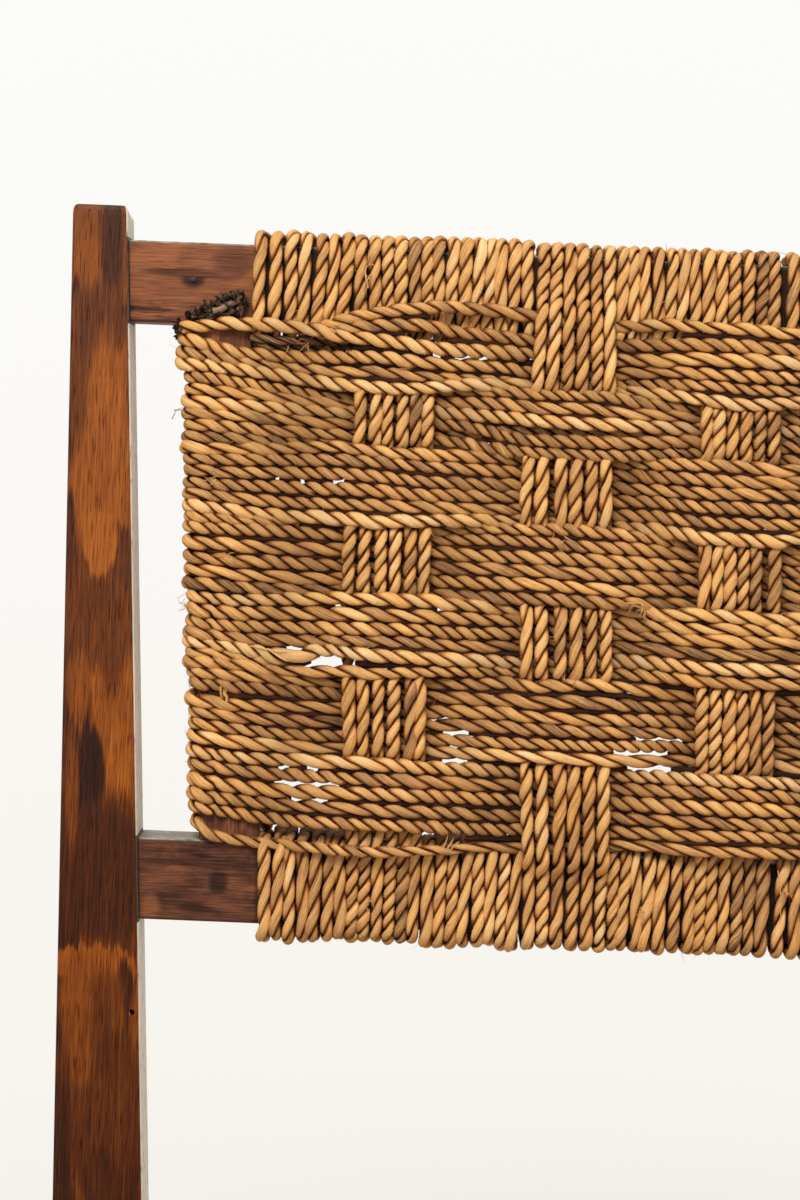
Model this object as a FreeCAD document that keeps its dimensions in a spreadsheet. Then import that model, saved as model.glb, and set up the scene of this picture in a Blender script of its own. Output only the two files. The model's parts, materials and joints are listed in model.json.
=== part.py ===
# A low armless easy chair: stained wooden posts, legs, rails and stretchers,
# with a back panel and a seat panel of twisted grass cord, woven in bands.
# World frame: X to the sitter's left and right, Y rearwards, Z up, floor at Z = 0.
# A panel frame has x across, y away from the sitter, and z along the warp cords.

import FreeCAD, Part
import Sketcher
import math
import os
import re

SIZES = {
    # Rear posts, each one piece from the floor to the top of the back
    "post_spacing_top": 541,
    "post_splay": 2.16,
    "post_top_width": 22.6,
    "post_seat_width": 38.8,
    "post_foot_width": 28,
    "post_depth": 30,
    "post_foot_depth": 27,
    "post_corner": 1.4,
    "post_top_fall": 7.6,
    "end_easing": 1.4,
    "end_easing_height": 2.2,
    "back_length": 451,
    "back_recline": 13,
    "rear_rake": 9,
    # Front legs
    "leg_top_width": 36,
    "leg_top_depth": 34,
    "leg_foot_depth": 28,
    "leg_rise": 7,
    "front_rake": 4,
    # Seat
    "seat_rear_height": 375,
    "seat_tilt": 3.2,
    "seat_span": 455,
    # Wooden frames of the two woven panels
    "rail_recess": 3,
    "rail_height": 34,
    "rail_depth": 26,
    "rail_corner": 1.8,
    "top_rail_drop": 14,
    "bottom_rail_drop": 261.4,
    "stile_width": 25,
    "stile_gap": 20,
    "seat_bar_width": 25,
    # Side rails and stretchers
    "side_rail_drop": 44,
    "side_rail_height": 34,
    "side_rail_thickness": 20,
    "stretcher_height": 26,
    "stretcher_thickness": 18,
    "stretcher_level": 135,
    # Tenons and their mortises
    "tenon_length": 14,
    "tenon_cheek": 7,
    "tenon_shoulder": 5,
    "joint_clearance": 0.1,
    # Cord
    "cord_clearance": 0.3,
    "band_thickness": 5,
    "warp_band_width": 33,
    "weft_passage": 6.2,
    "step_half_run": 1,
    "step_radius": 2.9,
    "slope_radius": 12,
    "hook_run": 2,
    "winding_tube": 5,
    "winding_least_gap": 0.45,
    # Small pieces on the top rail and marks on the left post
    "tuft_length": 22,
    "tuft_height": 12,
    "tuft_thickness": 6,
    "tuft_inset": 36.1,
    "tuft_drop": 38.5,
    "nail_inset": 26.5,
    "nail_drop": 29,
    "nail_shank": 0.6,
    "nail_head": 1.3,
    "nail_head_height": 0.5,
    "nail_length": 12,
    "nail_clearance": 0.05,
    "mark_hole_radius": 1.25,
    "mark_hole_depth": 6,
    "mark_hole_drop": 333.5,
    "mark_hole_edge": 3.3,
}

# Places of the warp columns, as shares of the half width inside the stiles
WARP_SHARES = (-0.7, -0.337, 0.0, 0.337, 0.7)
# Lines between the weft bands of the back, as shares of the opening, from the top rail down
BACK_LINE_SHARES = (0.114, 0.229, 0.369, 0.512, 0.664, 0.824)
SEAT_WEFT_COUNT = 13
# Easing of a post or leg end: how far along it is and how much of the inset it has, as shares
EASING_SHARES = ((1.0, 0.0), (0.5, 0.13), (0.15, 0.47), (0.0, 1.0))

doc = FreeCAD.newDocument("cord_chair")
sheet = doc.addObject("Spreadsheet::Sheet", "sizes")
for row, (name, value) in enumerate(SIZES.items(), start=1):
    sheet.set(f"A{row}", name)
    sheet.set(f"B{row}", str(value))
    sheet.setAlias(f"B{row}", name)
doc.recompute()


def size(expression):
    """The value of an expression written in the sheet's names."""
    found = sheet.evalExpression(str(expression))
    return float(getattr(found, "Value", found))


def bound(expression):
    """The same expression as a document object reads it."""
    def named(word):
        return "sizes." + word.group() if word.group() in SIZES else word.group()

    return re.sub(r"[a-z_]+", named, str(expression))


# Expressions that several pieces share

POST_TAPER = "(post_seat_width - post_top_width) / back_length"
TOP_HALF_SPACING = "post_spacing_top / 2"
SEAT_HALF_SPACING = f"({TOP_HALF_SPACING} - back_length * tan(post_splay))"
FOOT_HALF_SPACING = f"({SEAT_HALF_SPACING} - seat_rear_height * tan(post_splay))"
SEAT_FRONT_HEIGHT = "(seat_rear_height + seat_span * sin(seat_tilt))"
FRONT_LEG_Y = "(-seat_span * cos(seat_tilt))"


def leg_centre_x(level):
    """Half the distance between the legs' centre lines at a height over the floor."""
    return f"({FOOT_HALF_SPACING} + ({level}) * tan(post_splay))"


def post_half_width(drop):
    """Half the width of a post at a distance down from its top."""
    return f"(post_top_width + ({drop}) * {POST_TAPER}) / 2"


def post_inner_x(drop):
    """Distance from the middle plane to a post's inner face, a distance down from its top."""
    return f"({TOP_HALF_SPACING} - ({drop}) * tan(post_splay) - {post_half_width(drop)})"


def rear_leg_y(level):
    """Centre line of a rear leg in side view, below the seat."""
    return f"((seat_rear_height - ({level})) * tan(rear_rake))"


def front_leg_y(level):
    """Centre line of a front leg in side view."""
    return f"({FRONT_LEG_Y} - ({SEAT_FRONT_HEIGHT} - ({level})) * tan(front_rake))"


def between(low, high, share):
    """A value part of the way from one to the other."""
    return f"({low} + ({high} - ({low})) * ({share}))"


def rear_leg_depth(level):
    return between("post_foot_depth", "post_depth", f"({level}) / seat_rear_height")


def front_leg_depth(level):
    return between("leg_foot_depth", "leg_top_depth", f"({level}) / {SEAT_FRONT_HEIGHT}")


def front_leg_width(level):
    return between("post_foot_width", "leg_top_width", f"({level}) / {SEAT_FRONT_HEIGHT}")


class PanelFrame:
    """Where a panel frame's origin lies and how far it is turned about X."""

    def __init__(self, turn):
        self.turn = turn
        self.origin = (0.0, "seat_rear_height")

    def world(self, along_y, along_z):
        """World Y and Z of a point of the panel's middle plane, as expressions."""
        y = f"(({along_y}) * cos({self.turn}) - ({along_z}) * sin({self.turn}))"
        z = f"({self.origin[1]} + ({along_y}) * sin({self.turn}) + ({along_z}) * cos({self.turn}))"
        return y, z

    def placement(self):
        base = FreeCAD.Vector(0, 0, size(self.origin[1]))
        return FreeCAD.Placement(base, FreeCAD.Rotation(FreeCAD.Vector(1, 0, 0), size(self.turn)))


BACK_FRAME = PanelFrame("(-back_recline)")
SEAT_FRAME = PanelFrame("(-90 - seat_tilt)")

SUBPARTS = []


def keep(piece, label, placement=FreeCAD.Placement()):
    """Name a finished sub-part and put it in its place."""
    piece.Label = label
    piece.Placement = placement
    SUBPARTS.append(piece)


# Wooden pieces

AXES = {"x": FreeCAD.Vector(1, 0, 0), "y": FreeCAD.Vector(0, 1, 0), "z": FreeCAD.Vector(0, 0, 1)}


def section(body, label, role, station):
    """A rectangle, round-cornered where a corner is given, on a turned and offset origin plane."""
    sketch = body.newObject("Sketcher::SketchObject", label)
    plane = [item for item in body.Origin.OriginFeatures if item.Role == role][0]
    sketch.AttachmentSupport = [(plane, "")]
    sketch.MapMode = "FlatFace"
    base = FreeCAD.Vector(*[size(value) for value in station["at"]])
    axis = AXES[station.get("axis", "z")]
    angle = station.get("angle", "0")
    sketch.AttachmentOffset = FreeCAD.Placement(base, FreeCAD.Rotation(axis, size(angle)))
    for letter, value in zip("xyz", station["at"]):
        sketch.setExpression(f"AttachmentOffset.Base.{letter}", bound(value))
    if size(angle) != 0:
        sketch.setExpression("AttachmentOffset.Rotation.Angle", bound(angle))
    half_u, half_v = station["half"]
    corner = station.get("corner")
    inset = corner if corner else "0"
    ends = [
        (f"-({half_u}) + {inset}", f"-({half_v})"), (f"({half_u}) - {inset}", f"-({half_v})"),
        (f"({half_u})", f"-({half_v}) + {inset}"), (f"({half_u})", f"({half_v}) - {inset}"),
        (f"({half_u}) - {inset}", f"({half_v})"), (f"-({half_u}) + {inset}", f"({half_v})"),
        (f"-({half_u})", f"({half_v}) - {inset}"), (f"-({half_u})", f"-({half_v}) + {inset}"),
    ]
    spots = [FreeCAD.Vector(size(u), size(v), 0) for u, v in ends]
    for side in range(4):
        sketch.addGeometry(Part.LineSegment(spots[2 * side], spots[2 * side + 1]), False)
    for side in range(4):
        for end in (1, 2):
            u, v = ends[2 * side + end - 1]
            for kind, value in (("DistanceX", u), ("DistanceY", v)):
                if corner is None and end == 2:
                    continue
                number = sketch.addConstraint(Sketcher.Constraint(kind, -1, 1, side, end, size(value)))
                sketch.setExpression(f"Constraints[{number}]", bound(value))
    for side in range(4):
        following = (side + 1) % 4
        if corner is None:
            sketch.addConstraint(Sketcher.Constraint("Coincident", side, 2, following, 1))
            continue
        radius = size(corner)
        start = math.radians(-90 + 90 * side)
        centre = spots[2 * side + 1] - FreeCAD.Vector(math.cos(start), math.sin(start), 0) * radius
        circle = Part.Circle(centre, FreeCAD.Vector(0, 0, 1), radius)
        arc = sketch.addGeometry(Part.ArcOfCircle(circle, start, start + math.radians(90)), False)
        sketch.addConstraint(Sketcher.Constraint("Tangent", side, 2, arc, 1))
        sketch.addConstraint(Sketcher.Constraint("Coincident", arc, 2, following, 1))
    return sketch


def loft(body, label, kind, role, stations):
    """A straight-sided solid through sections, added to the body or cut from it."""
    sketches = [section(body, f"{label}_{number}", role, station)
                for number, station in enumerate(stations)]
    solid = body.newObject(f"PartDesign::{kind}Loft", label)
    solid.Profile = sketches[0]
    solid.Sections = sketches[1:]
    solid.Ruled = True
    doc.recompute()
    return solid


def new_body(label):
    return doc.addObject("PartDesign::Body", f"{label}_body")


def mortise(body, label, bar):
    """Cut room in a post or leg for the tenon bar of a piece that is fitted into it."""
    return loft(body, label, "Subtractive", bar["role"], bar["stations"](True))


def round_hole(body, label, radius, depth, place, turn):
    """A blind round hole cut into a body from a point, along Z turned about X."""
    hole = body.newObject("PartDesign::SubtractiveCylinder", label)
    plane = [item for item in body.Origin.OriginFeatures if item.Role == "XY_Plane"][0]
    hole.AttachmentSupport = [(plane, "")]
    hole.MapMode = "FlatFace"
    base = FreeCAD.Vector(*[size(value) for value in place])
    hole.AttachmentOffset = FreeCAD.Placement(base, FreeCAD.Rotation(AXES["x"], size(turn)))
    for letter, value in zip("xyz", place):
        hole.setExpression(f"AttachmentOffset.Base.{letter}", bound(value))
    hole.setExpression("AttachmentOffset.Rotation.Angle", bound(turn))
    hole.setExpression("Radius", bound(radius))
    hole.setExpression("Height", bound(depth))
    doc.recompute()
    return hole


def post(side, name, bars):
    """A rear leg and back post in one piece: it leans back above the seat and rakes back below it."""
    body = new_body(name)
    stations = []
    foot_half = ("post_foot_width / 2", f"{rear_leg_depth(0)} / 2")
    stations.append({"at": (f"{side} * {leg_centre_x(0)}", rear_leg_y("0"), "0"), "half": foot_half,
                     "corner": "post_corner"})
    stations.append({"at": (f"{side} * {SEAT_HALF_SPACING}", "0", "seat_rear_height"),
                     "half": ("post_seat_width / 2", "post_depth / 2"), "corner": "post_corner",
                     "axis": "x", "angle": "-back_recline"})
    for share, inset_share in EASING_SHARES:
        drop = f"(end_easing_height * {share} + post_depth / 2 * tan(post_top_fall))"
        inset = f"(end_easing * {inset_share})"
        y, z = BACK_FRAME.world("0", f"back_length - {drop}")
        stations.append({"at": (f"{side} * ({TOP_HALF_SPACING} - {drop} * tan(post_splay))", y, z),
                         "half": (f"{post_half_width(drop)} - {inset}", f"post_depth / 2 - {inset}"),
                         "corner": "post_corner", "axis": "x",
                         "angle": f"(-back_recline - post_top_fall * (1 - {share}))"})
    loft(body, f"{name}_shape", "Additive", "XY_Plane", stations)
    for bar in bars:
        mortise(body, f"{name}_{bar['label']}", bar)
    if side < 0:
        y, z = BACK_FRAME.world("(-post_depth / 2)", "(back_length - mark_hole_drop)")
        mark_x = f"-({post_inner_x('mark_hole_drop')} + mark_hole_edge)"
        round_hole(body, "mark_hole", "mark_hole_radius", "mark_hole_depth", (mark_x, y, z),
                   "(-90 - back_recline)")
    return body


def front_leg(side, name, bars):
    """A front leg, tapered to the floor and raked a little forwards."""
    body = new_body(name)
    top = f"({SEAT_FRONT_HEIGHT} + leg_rise)"
    levels = [("0", "0")] + [(f"({top} - end_easing_height * {share})", f"(end_easing * {inset_share})")
                             for share, inset_share in EASING_SHARES]
    stations = [{"at": (f"{side} * {leg_centre_x(level)}", front_leg_y(level), level),
                 "half": (f"{front_leg_width(level)} / 2 - {inset}",
                          f"{front_leg_depth(level)} / 2 - {inset}"),
                 "corner": "post_corner"} for level, inset in levels]
    loft(body, f"{name}_shape", "Additive", "XY_Plane", stations)
    for bar in bars:
        mortise(body, f"{name}_{bar['label']}", bar)
    return body


class Panel:
    """Sizes of one woven panel: the back or the seat, in its own panel frame."""

    def __init__(self, name, frame, front_y, rail_y, rail_z, high, low, stile_width, lines):
        self.name = name
        self.frame = frame
        self.front_y = front_y
        self.rail_y = rail_y
        self.rail_z = rail_z
        self.high = high
        self.low = low
        self.stile_width = stile_width
        self.lines = lines
        self.middle_y = f"({front_y} + {rail_y} / 2)"
        self.open_high = f"({high} - {rail_z} / 2)"
        self.open_low = f"({low} + {rail_z} / 2)"


BACK = Panel("back", BACK_FRAME, "(rail_recess - post_depth / 2)", "rail_depth", "rail_height",
             "(back_length - top_rail_drop - rail_height / 2)",
             "(back_length - bottom_rail_drop - rail_height / 2)", "stile_width", BACK_LINE_SHARES)
SEAT = Panel("seat", SEAT_FRAME, "0", "rail_height", "rail_depth", "0", "(-seat_span)", "seat_bar_width",
             tuple(count / SEAT_WEFT_COUNT for count in range(1, SEAT_WEFT_COUNT)))


def back_inner_x(z):
    """Distance from the middle plane to a post's inner face, at a height in the back's frame."""
    return post_inner_x(f"(back_length - ({z}))")


SEAT_REAR_INNER = f"({SEAT_HALF_SPACING} - post_seat_width / 2)"
SEAT_FRONT_INNER = f"({leg_centre_x(SEAT_FRONT_HEIGHT)} - leg_top_width / 2)"


def turn_of(ratio):
    """The angle in degrees whose tangent is given, as a plain number."""
    return f"(atan({ratio}) / 1 deg)"


POST_INNER_TURN = f"(post_splay + {turn_of('(post_seat_width - post_top_width) / 2 / back_length')})"
REAR_LEG_INNER_TURN = (f"(post_splay - "
                       f"{turn_of('(post_seat_width - post_foot_width) / 2 / seat_rear_height')})")
FRONT_LEG_INNER_TURN = (f"(post_splay - "
                        f"{turn_of(f'(leg_top_width - post_foot_width) / 2 / {SEAT_FRONT_HEIGHT}')})")


def panel_inner_x(panel, z):
    """Distance from the middle plane to the posts or legs, at a place along the warps."""
    if panel is BACK:
        return back_inner_x(z)
    share = f"(({z}) - {panel.low}) / ({panel.high} - {panel.low})"
    return between(SEAT_FRONT_INNER, SEAT_REAR_INNER, share)


def stile_outer_x(panel, z):
    """Distance from the middle plane to a stile's outer face."""
    return f"({panel_inner_x(panel, z)} - stile_gap - band_thickness - cord_clearance)"


def cross_rail_bar(panel, z, inner_x, label):
    """The tenon bar of a cross rail: sections across the panel frame or, for mortises, across the world."""
    reach = f"({inner_x} + tenon_length)"
    half_y = f"({panel.rail_y} / 2 - tenon_cheek)"
    half_z = f"({panel.rail_z} / 2 - tenon_shoulder)"

    def stations(with_room):
        room = " + joint_clearance" if with_room else ""
        half = (half_y + room, half_z + room)
        if not with_room:
            return [{"at": (panel.middle_y, z, f"{side} * {reach}"), "half": half} for side in (-1, 1)]
        y_world, z_world = panel.frame.world(panel.middle_y, z)
        return [{"at": (y_world, z_world, f"{side} * ({reach}{room})"), "half": half,
                 "axis": "z", "angle": panel.frame.turn} for side in (-1, 1)]

    return {"label": label, "role": "YZ_Plane", "stations": stations}


def cross_rail(panel, z, name, bar, inner_x, axis, turn, stile_bars):
    """A rail across a panel: shoulders and tenons at the posts or legs, mortises for the stiles."""
    body = new_body(name)
    half = (f"{panel.rail_y} / 2", f"{panel.rail_z} / 2")
    stations = [{"at": (panel.middle_y, z, f"{side} * ({inner_x} - joint_clearance)"), "half": half,
                 "corner": "rail_corner", "axis": axis, "angle": f"{side} * {turn}"} for side in (-1, 1)]
    loft(body, f"{name}_shape", "Additive", "YZ_Plane", stations)
    loft(body, f"{name}_tenons", "Additive", "YZ_Plane", bar["stations"](False))
    for stile_bar in stile_bars:
        mortise(body, f"{name}_{stile_bar['label']}", stile_bar)
    return body


def stile_centre_x(panel, z, side):
    return f"{side} * ({stile_outer_x(panel, z)} - {panel.stile_width} / 2)"


def stile_bar(panel, side, label):
    """The tenon bar of a stile, along the warps."""
    def stations(with_room):
        room = " + joint_clearance" if with_room else ""
        half = (f"{panel.stile_width} / 2 - tenon_shoulder{room}",
                f"{panel.rail_y} / 2 - tenon_cheek{room}")
        reach = f"(tenon_length{room})"
        ends = [f"({panel.open_low} - {reach})", f"({panel.open_high} + {reach})"]
        return [{"at": (stile_centre_x(panel, z, side), panel.middle_y, z), "half": half} for z in ends]

    return {"label": label, "role": "XY_Plane", "stations": stations}


def stile(panel, side, name, bar):
    """An upright inside the panel, that the weft cords turn round."""
    body = new_body(name)
    half = (f"{panel.stile_width} / 2", f"{panel.rail_y} / 2")
    ends = [f"({panel.open_low} + joint_clearance)", f"({panel.open_high} - joint_clearance)"]
    stations = [{"at": (stile_centre_x(panel, z, side), panel.middle_y, z), "half": half,
                 "corner": "rail_corner"} for z in ends]
    loft(body, f"{name}_shape", "Additive", "XY_Plane", stations)
    loft(body, f"{name}_tenon", "Additive", "XY_Plane", bar["stations"](False))
    return body


def side_member_bar(side, height, thickness, ends, label):
    """The tenon bar of a side rail or side stretcher, from front leg to rear leg."""
    half = (f"({thickness} / 2 - tenon_shoulder)", f"({height} / 2 - tenon_shoulder)")

    def stations(with_room):
        room = " + joint_clearance" if with_room else ""
        grown = (half[0] + room, half[1] + room)
        (front_y, front_z), (rear_y, rear_z) = ends
        reach = f"(tenon_length{room})"
        spots = [(f"{side} * {leg_centre_x(front_z)}", front_z, f"-({front_y} - {reach})"),
                 (f"{side} * {leg_centre_x(rear_z)}", rear_z, f"-({rear_y} + {reach})")]
        return [{"at": spot, "half": grown} for spot in spots]

    return {"label": label, "role": "XZ_Plane", "stations": stations}


def side_member(side, height, thickness, ends, name, bar, crossing_bars):
    """A rail or stretcher between a front leg and a rear leg, its shoulders cut to their rake."""
    body = new_body(name)
    (front_y, front_z), (rear_y, rear_z) = ends
    half = (f"{thickness} / 2", f"{height} / 2")
    stations = [{"at": (f"{side} * {leg_centre_x(front_z)}", front_z, f"-({front_y} + joint_clearance)"),
                 "half": half, "corner": "rail_corner", "axis": "x", "angle": "-front_rake"},
                {"at": (f"{side} * {leg_centre_x(rear_z)}", rear_z, f"-({rear_y} - joint_clearance)"),
                 "half": half, "corner": "rail_corner", "axis": "x", "angle": "rear_rake"}]
    loft(body, f"{name}_shape", "Additive", "XZ_Plane", stations)
    loft(body, f"{name}_tenons", "Additive", "XZ_Plane", bar["stations"](False))
    for crossing in crossing_bars:
        mortise(body, f"{name}_{crossing['label']}", crossing)
    return body


def side_ends(front_level, rear_level):
    """Where a side piece meets the legs: the faces that look at each other, at the given heights."""
    front = f"({front_leg_y(front_level)} + {front_leg_depth(front_level)} / 2 / cos(front_rake))"
    rear = f"({rear_leg_y(rear_level)} - {rear_leg_depth(rear_level)} / 2 / cos(rear_rake))"
    return (front, front_level), (rear, rear_level)


# The wooden frame, put together

TOP_INNER = back_inner_x(BACK.high)
BOTTOM_INNER = back_inner_x(BACK.low)
RAIL_HALF_HEIGHT = "(rail_height / 2)"
SEAT_REAR_MIDDLE_INNER = f"({SEAT_REAR_INNER} - {RAIL_HALF_HEIGHT} * tan({REAR_LEG_INNER_TURN}))"
SEAT_FRONT_MIDDLE_INNER = f"({SEAT_FRONT_INNER} - {RAIL_HALF_HEIGHT} * tan({FRONT_LEG_INNER_TURN}))"

# The nail and the tuft sit by the left post, between it and the cords
NAIL_X = f"(nail_inset - {post_inner_x('nail_drop')})"
TUFT_X = f"(tuft_inset - {post_inner_x('tuft_drop')})"

back_top_bar = cross_rail_bar(BACK, BACK.high, TOP_INNER, "back_top_mortise")
back_bottom_bar = cross_rail_bar(BACK, BACK.low, BOTTOM_INNER, "back_bottom_mortise")
seat_rear_bar = cross_rail_bar(SEAT, SEAT.high, SEAT_REAR_MIDDLE_INNER, "seat_rear_mortise")
seat_front_bar = cross_rail_bar(SEAT, SEAT.low, SEAT_FRONT_MIDDLE_INNER, "seat_front_mortise")

SIDE_RAIL_FRONT_LEVEL = f"({SEAT_FRONT_HEIGHT} - side_rail_drop - side_rail_height / 2)"
SIDE_RAIL_REAR_LEVEL = "(seat_rear_height - side_rail_drop - side_rail_height / 2)"
rail_ends = side_ends(SIDE_RAIL_FRONT_LEVEL, SIDE_RAIL_REAR_LEVEL)
stretcher_ends = side_ends("stretcher_level", "stretcher_level")
CROSS_Y = f"(({stretcher_ends[0][0]} + {stretcher_ends[1][0]}) / 2)"
CROSS_INNER = f"({leg_centre_x('stretcher_level')} - stretcher_thickness / 2)"


def cross_stretcher_bar():
    """The tenon bar of the stretcher between the two side stretchers."""
    def stations(with_room):
        room = " + joint_clearance" if with_room else ""
        half = (f"(stretcher_thickness / 2 - tenon_shoulder){room}",
                f"(stretcher_height / 2 - tenon_shoulder){room}")
        reach = f"({CROSS_INNER} + stretcher_thickness - tenon_shoulder{room})"
        return [{"at": (CROSS_Y, "stretcher_level", f"{side} * {reach}"), "half": half} for side in (-1, 1)]

    return {"label": "cross_mortise", "role": "YZ_Plane", "stations": stations}


def cross_stretcher(name, bar):
    body = new_body(name)
    stations = [{"at": (CROSS_Y, "stretcher_level", f"{side} * ({CROSS_INNER} - joint_clearance)"),
                 "half": ("stretcher_thickness / 2", "stretcher_height / 2"), "corner": "rail_corner"}
                for side in (-1, 1)]
    loft(body, f"{name}_shape", "Additive", "YZ_Plane", stations)
    loft(body, f"{name}_tenons", "Additive", "YZ_Plane", bar["stations"](False))
    return body


cross_bar = cross_stretcher_bar()
for side, hand in ((-1, "left"), (1, "right")):
    rail_bar = side_member_bar(side, "side_rail_height", "side_rail_thickness", rail_ends,
                               "side_rail_mortise")
    stretcher_bar = side_member_bar(side, "stretcher_height", "stretcher_thickness", stretcher_ends,
                                    "stretcher_mortise")
    rear_bars = [back_top_bar, back_bottom_bar, seat_rear_bar, rail_bar, stretcher_bar]
    keep(post(side, f"post_{hand}", rear_bars), f"post_{hand}")
    front_bars = [seat_front_bar, rail_bar, stretcher_bar]
    keep(front_leg(side, f"front_leg_{hand}", front_bars), f"front_leg_{hand}")
    keep(side_member(side, "side_rail_height", "side_rail_thickness", rail_ends,
                     f"side_rail_{hand}", rail_bar, []), f"side_rail_{hand}")
    keep(side_member(side, "stretcher_height", "stretcher_thickness", stretcher_ends,
                     f"side_stretcher_{hand}", stretcher_bar, [cross_bar]), f"side_stretcher_{hand}")
keep(cross_stretcher("cross_stretcher", cross_bar), "cross_stretcher")

for panel, names in ((BACK, ("top", "bottom")), (SEAT, ("rear", "front"))):
    stile_word = "stile" if panel is BACK else "bar"
    stile_bars = []
    for side, hand in ((-1, "left"), (1, "right")):
        name = f"{panel.name}_{stile_word}_{hand}"
        bar = stile_bar(panel, side, f"{stile_word}_mortise_{hand}")
        stile_bars.append(bar)
        keep(stile(panel, side, name, bar), name, panel.frame.placement())
    if panel is BACK:
        rails = [(panel.high, back_top_bar, TOP_INNER, "x", POST_INNER_TURN),
                 (panel.low, back_bottom_bar, BOTTOM_INNER, "x", POST_INNER_TURN)]
    else:
        rails = [(panel.high, seat_rear_bar, SEAT_REAR_MIDDLE_INNER, "y", REAR_LEG_INNER_TURN),
                 (panel.low, seat_front_bar, SEAT_FRONT_MIDDLE_INNER, "y", FRONT_LEG_INNER_TURN)]
    for word, (z, bar, inner_x, axis, turn) in zip(names, rails):
        name = f"{panel.name}_rail_{word}"
        rail = cross_rail(panel, z, name, bar, inner_x, axis, turn, stile_bars)
        if panel is BACK and word == "top":
            nail_place = (NAIL_X, panel.front_y, "(back_length - nail_drop)")
            round_hole(rail, "nail_hole", "(nail_shank + nail_clearance)", "nail_length", nail_place, "-90")
        keep(rail, name, panel.frame.placement())



# Cords. Each group of six cords that lie side by side is one flat band, bent as the group runs.

def rounded_path(corners, radii):
    """Straight runs joined by tangent arcs: a list of pieces, each the points of a line or of an arc."""
    pieces = []
    start = corners[0]
    for number in range(1, len(corners) - 1):
        here = corners[number]
        before = (here - corners[number - 1]).normalize()
        after = (corners[number + 1] - here).normalize()
        turn = before.getAngle(after)
        reach = radii[number - 1] * math.tan(turn / 2)
        first = here - before * reach
        last = here + after * reach
        inward = (after - before).normalize()
        centre = here + inward * (radii[number - 1] / math.cos(turn / 2))
        middle = centre - inward * radii[number - 1]
        pieces.append((start, first))
        pieces.append((first, middle, last))
        start = last
    pieces.append((start, corners[-1]))
    return pieces


def path_edges(pieces):
    edges = []
    for piece in pieces:
        if len(piece) == 2:
            edges.append(Part.LineSegment(*piece).toShape())
        else:
            edges.append(Part.Arc(*piece).toShape())
    return edges


def shifted(corners, distance):
    """The corners of a line that runs beside another at a distance, in the plane of the first two axes."""
    normals = []
    for first, last in zip(corners, corners[1:]):
        along = (last - first).normalize()
        normals.append(FreeCAD.Vector(-along.y, along.x, 0))
    moved = [corners[0] + normals[0] * distance]
    for number in range(1, len(corners) - 1):
        bisector = normals[number - 1] + normals[number]
        moved.append(corners[number] + bisector * (2 * distance / bisector.Length ** 2))
    moved.append(corners[-1] + normals[-1] * distance)
    return moved


def ribbon_outline(corners, radii, thickness):
    """The closed outline of a flat ribbon along a path, in the plane of the first two axes."""
    sides = []
    for distance in (thickness / 2, -thickness / 2):
        turned = []
        for number, radius in enumerate(radii, start=1):
            before = corners[number] - corners[number - 1]
            after = corners[number + 1] - corners[number]
            to_left = before.cross(after).z > 0
            turned.append(radius - distance if to_left else radius + distance)
        sides.append(path_edges(rounded_path(shifted(corners, distance), turned)))
    left, right = sides
    ends = [Part.LineSegment(left[-1].lastVertex().Point, right[-1].lastVertex().Point).toShape(),
            Part.LineSegment(right[0].firstVertex().Point, left[0].firstVertex().Point).toShape()]
    return Part.Wire(Part.__sortEdges__(left + right + ends))


def band(corner_lists, radii, thickness, lift, places):
    """A band: the ribbon's outlines at its two edges, joined straight across."""
    wires = []
    for corners, place in zip(corner_lists, places):
        outline = ribbon_outline(corners, radii, thickness)
        outline.transformShape(lift(place))
        wires.append(outline)
    return Part.makeLoft(wires, True, True)


def across(z):
    """Puts a ribbon drawn in x and y at a place along the warps."""
    return FreeCAD.Placement(FreeCAD.Vector(0, 0, z), FreeCAD.Rotation()).toMatrix()


def along(x):
    """Puts a ribbon drawn in z and y at a place across the panel."""
    return FreeCAD.Matrix(0, 0, -1, x, 0, 1, 0, 0, 1, 0, 0, 0, 0, 0, 0, 1)


CLEAR = size("cord_clearance")
THICK = size("band_thickness")
WARP_WIDTH = size("warp_band_width")
CORNER = size("rail_corner")
TUBE = size("winding_tube")
# How far from the outer face of a bar a band passes over into its turn round the bar
TURN_START = CORNER + size("hook_run")
PASSAGE = size("weft_passage")


class Weave:
    """Levels, lines and columns of one woven panel, as numbers."""

    def __init__(self, panel):
        self.panel = panel
        self.front = size(panel.front_y)
        self.rear = self.front + size(panel.rail_y)
        self.base = self.front - CLEAR - THICK / 2
        self.raised = self.base - THICK - CLEAR
        self.high = size(panel.open_high)
        self.low = size(panel.open_low)
        self.rail_z = size(panel.rail_z)
        inner = self.stile_outer((self.high + self.low) / 2) - size(panel.stile_width)
        self.columns = [share * inner for share in WARP_SHARES]
        past_winding = TUBE + 2 * CLEAR
        lines = [self.high - share * (self.high - self.low) for share in panel.lines]
        edges = [self.high - past_winding + PASSAGE / 2] + lines + [self.low + past_winding - PASSAGE / 2]
        self.bands = [(lower + PASSAGE / 2, upper - PASSAGE / 2) for upper, lower in zip(edges, edges[1:])]

    def stile_outer(self, z):
        return size(stile_outer_x(self.panel, z))

    def weft_is_over(self, row, column):
        return (row + column) % 2 == 0


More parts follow.
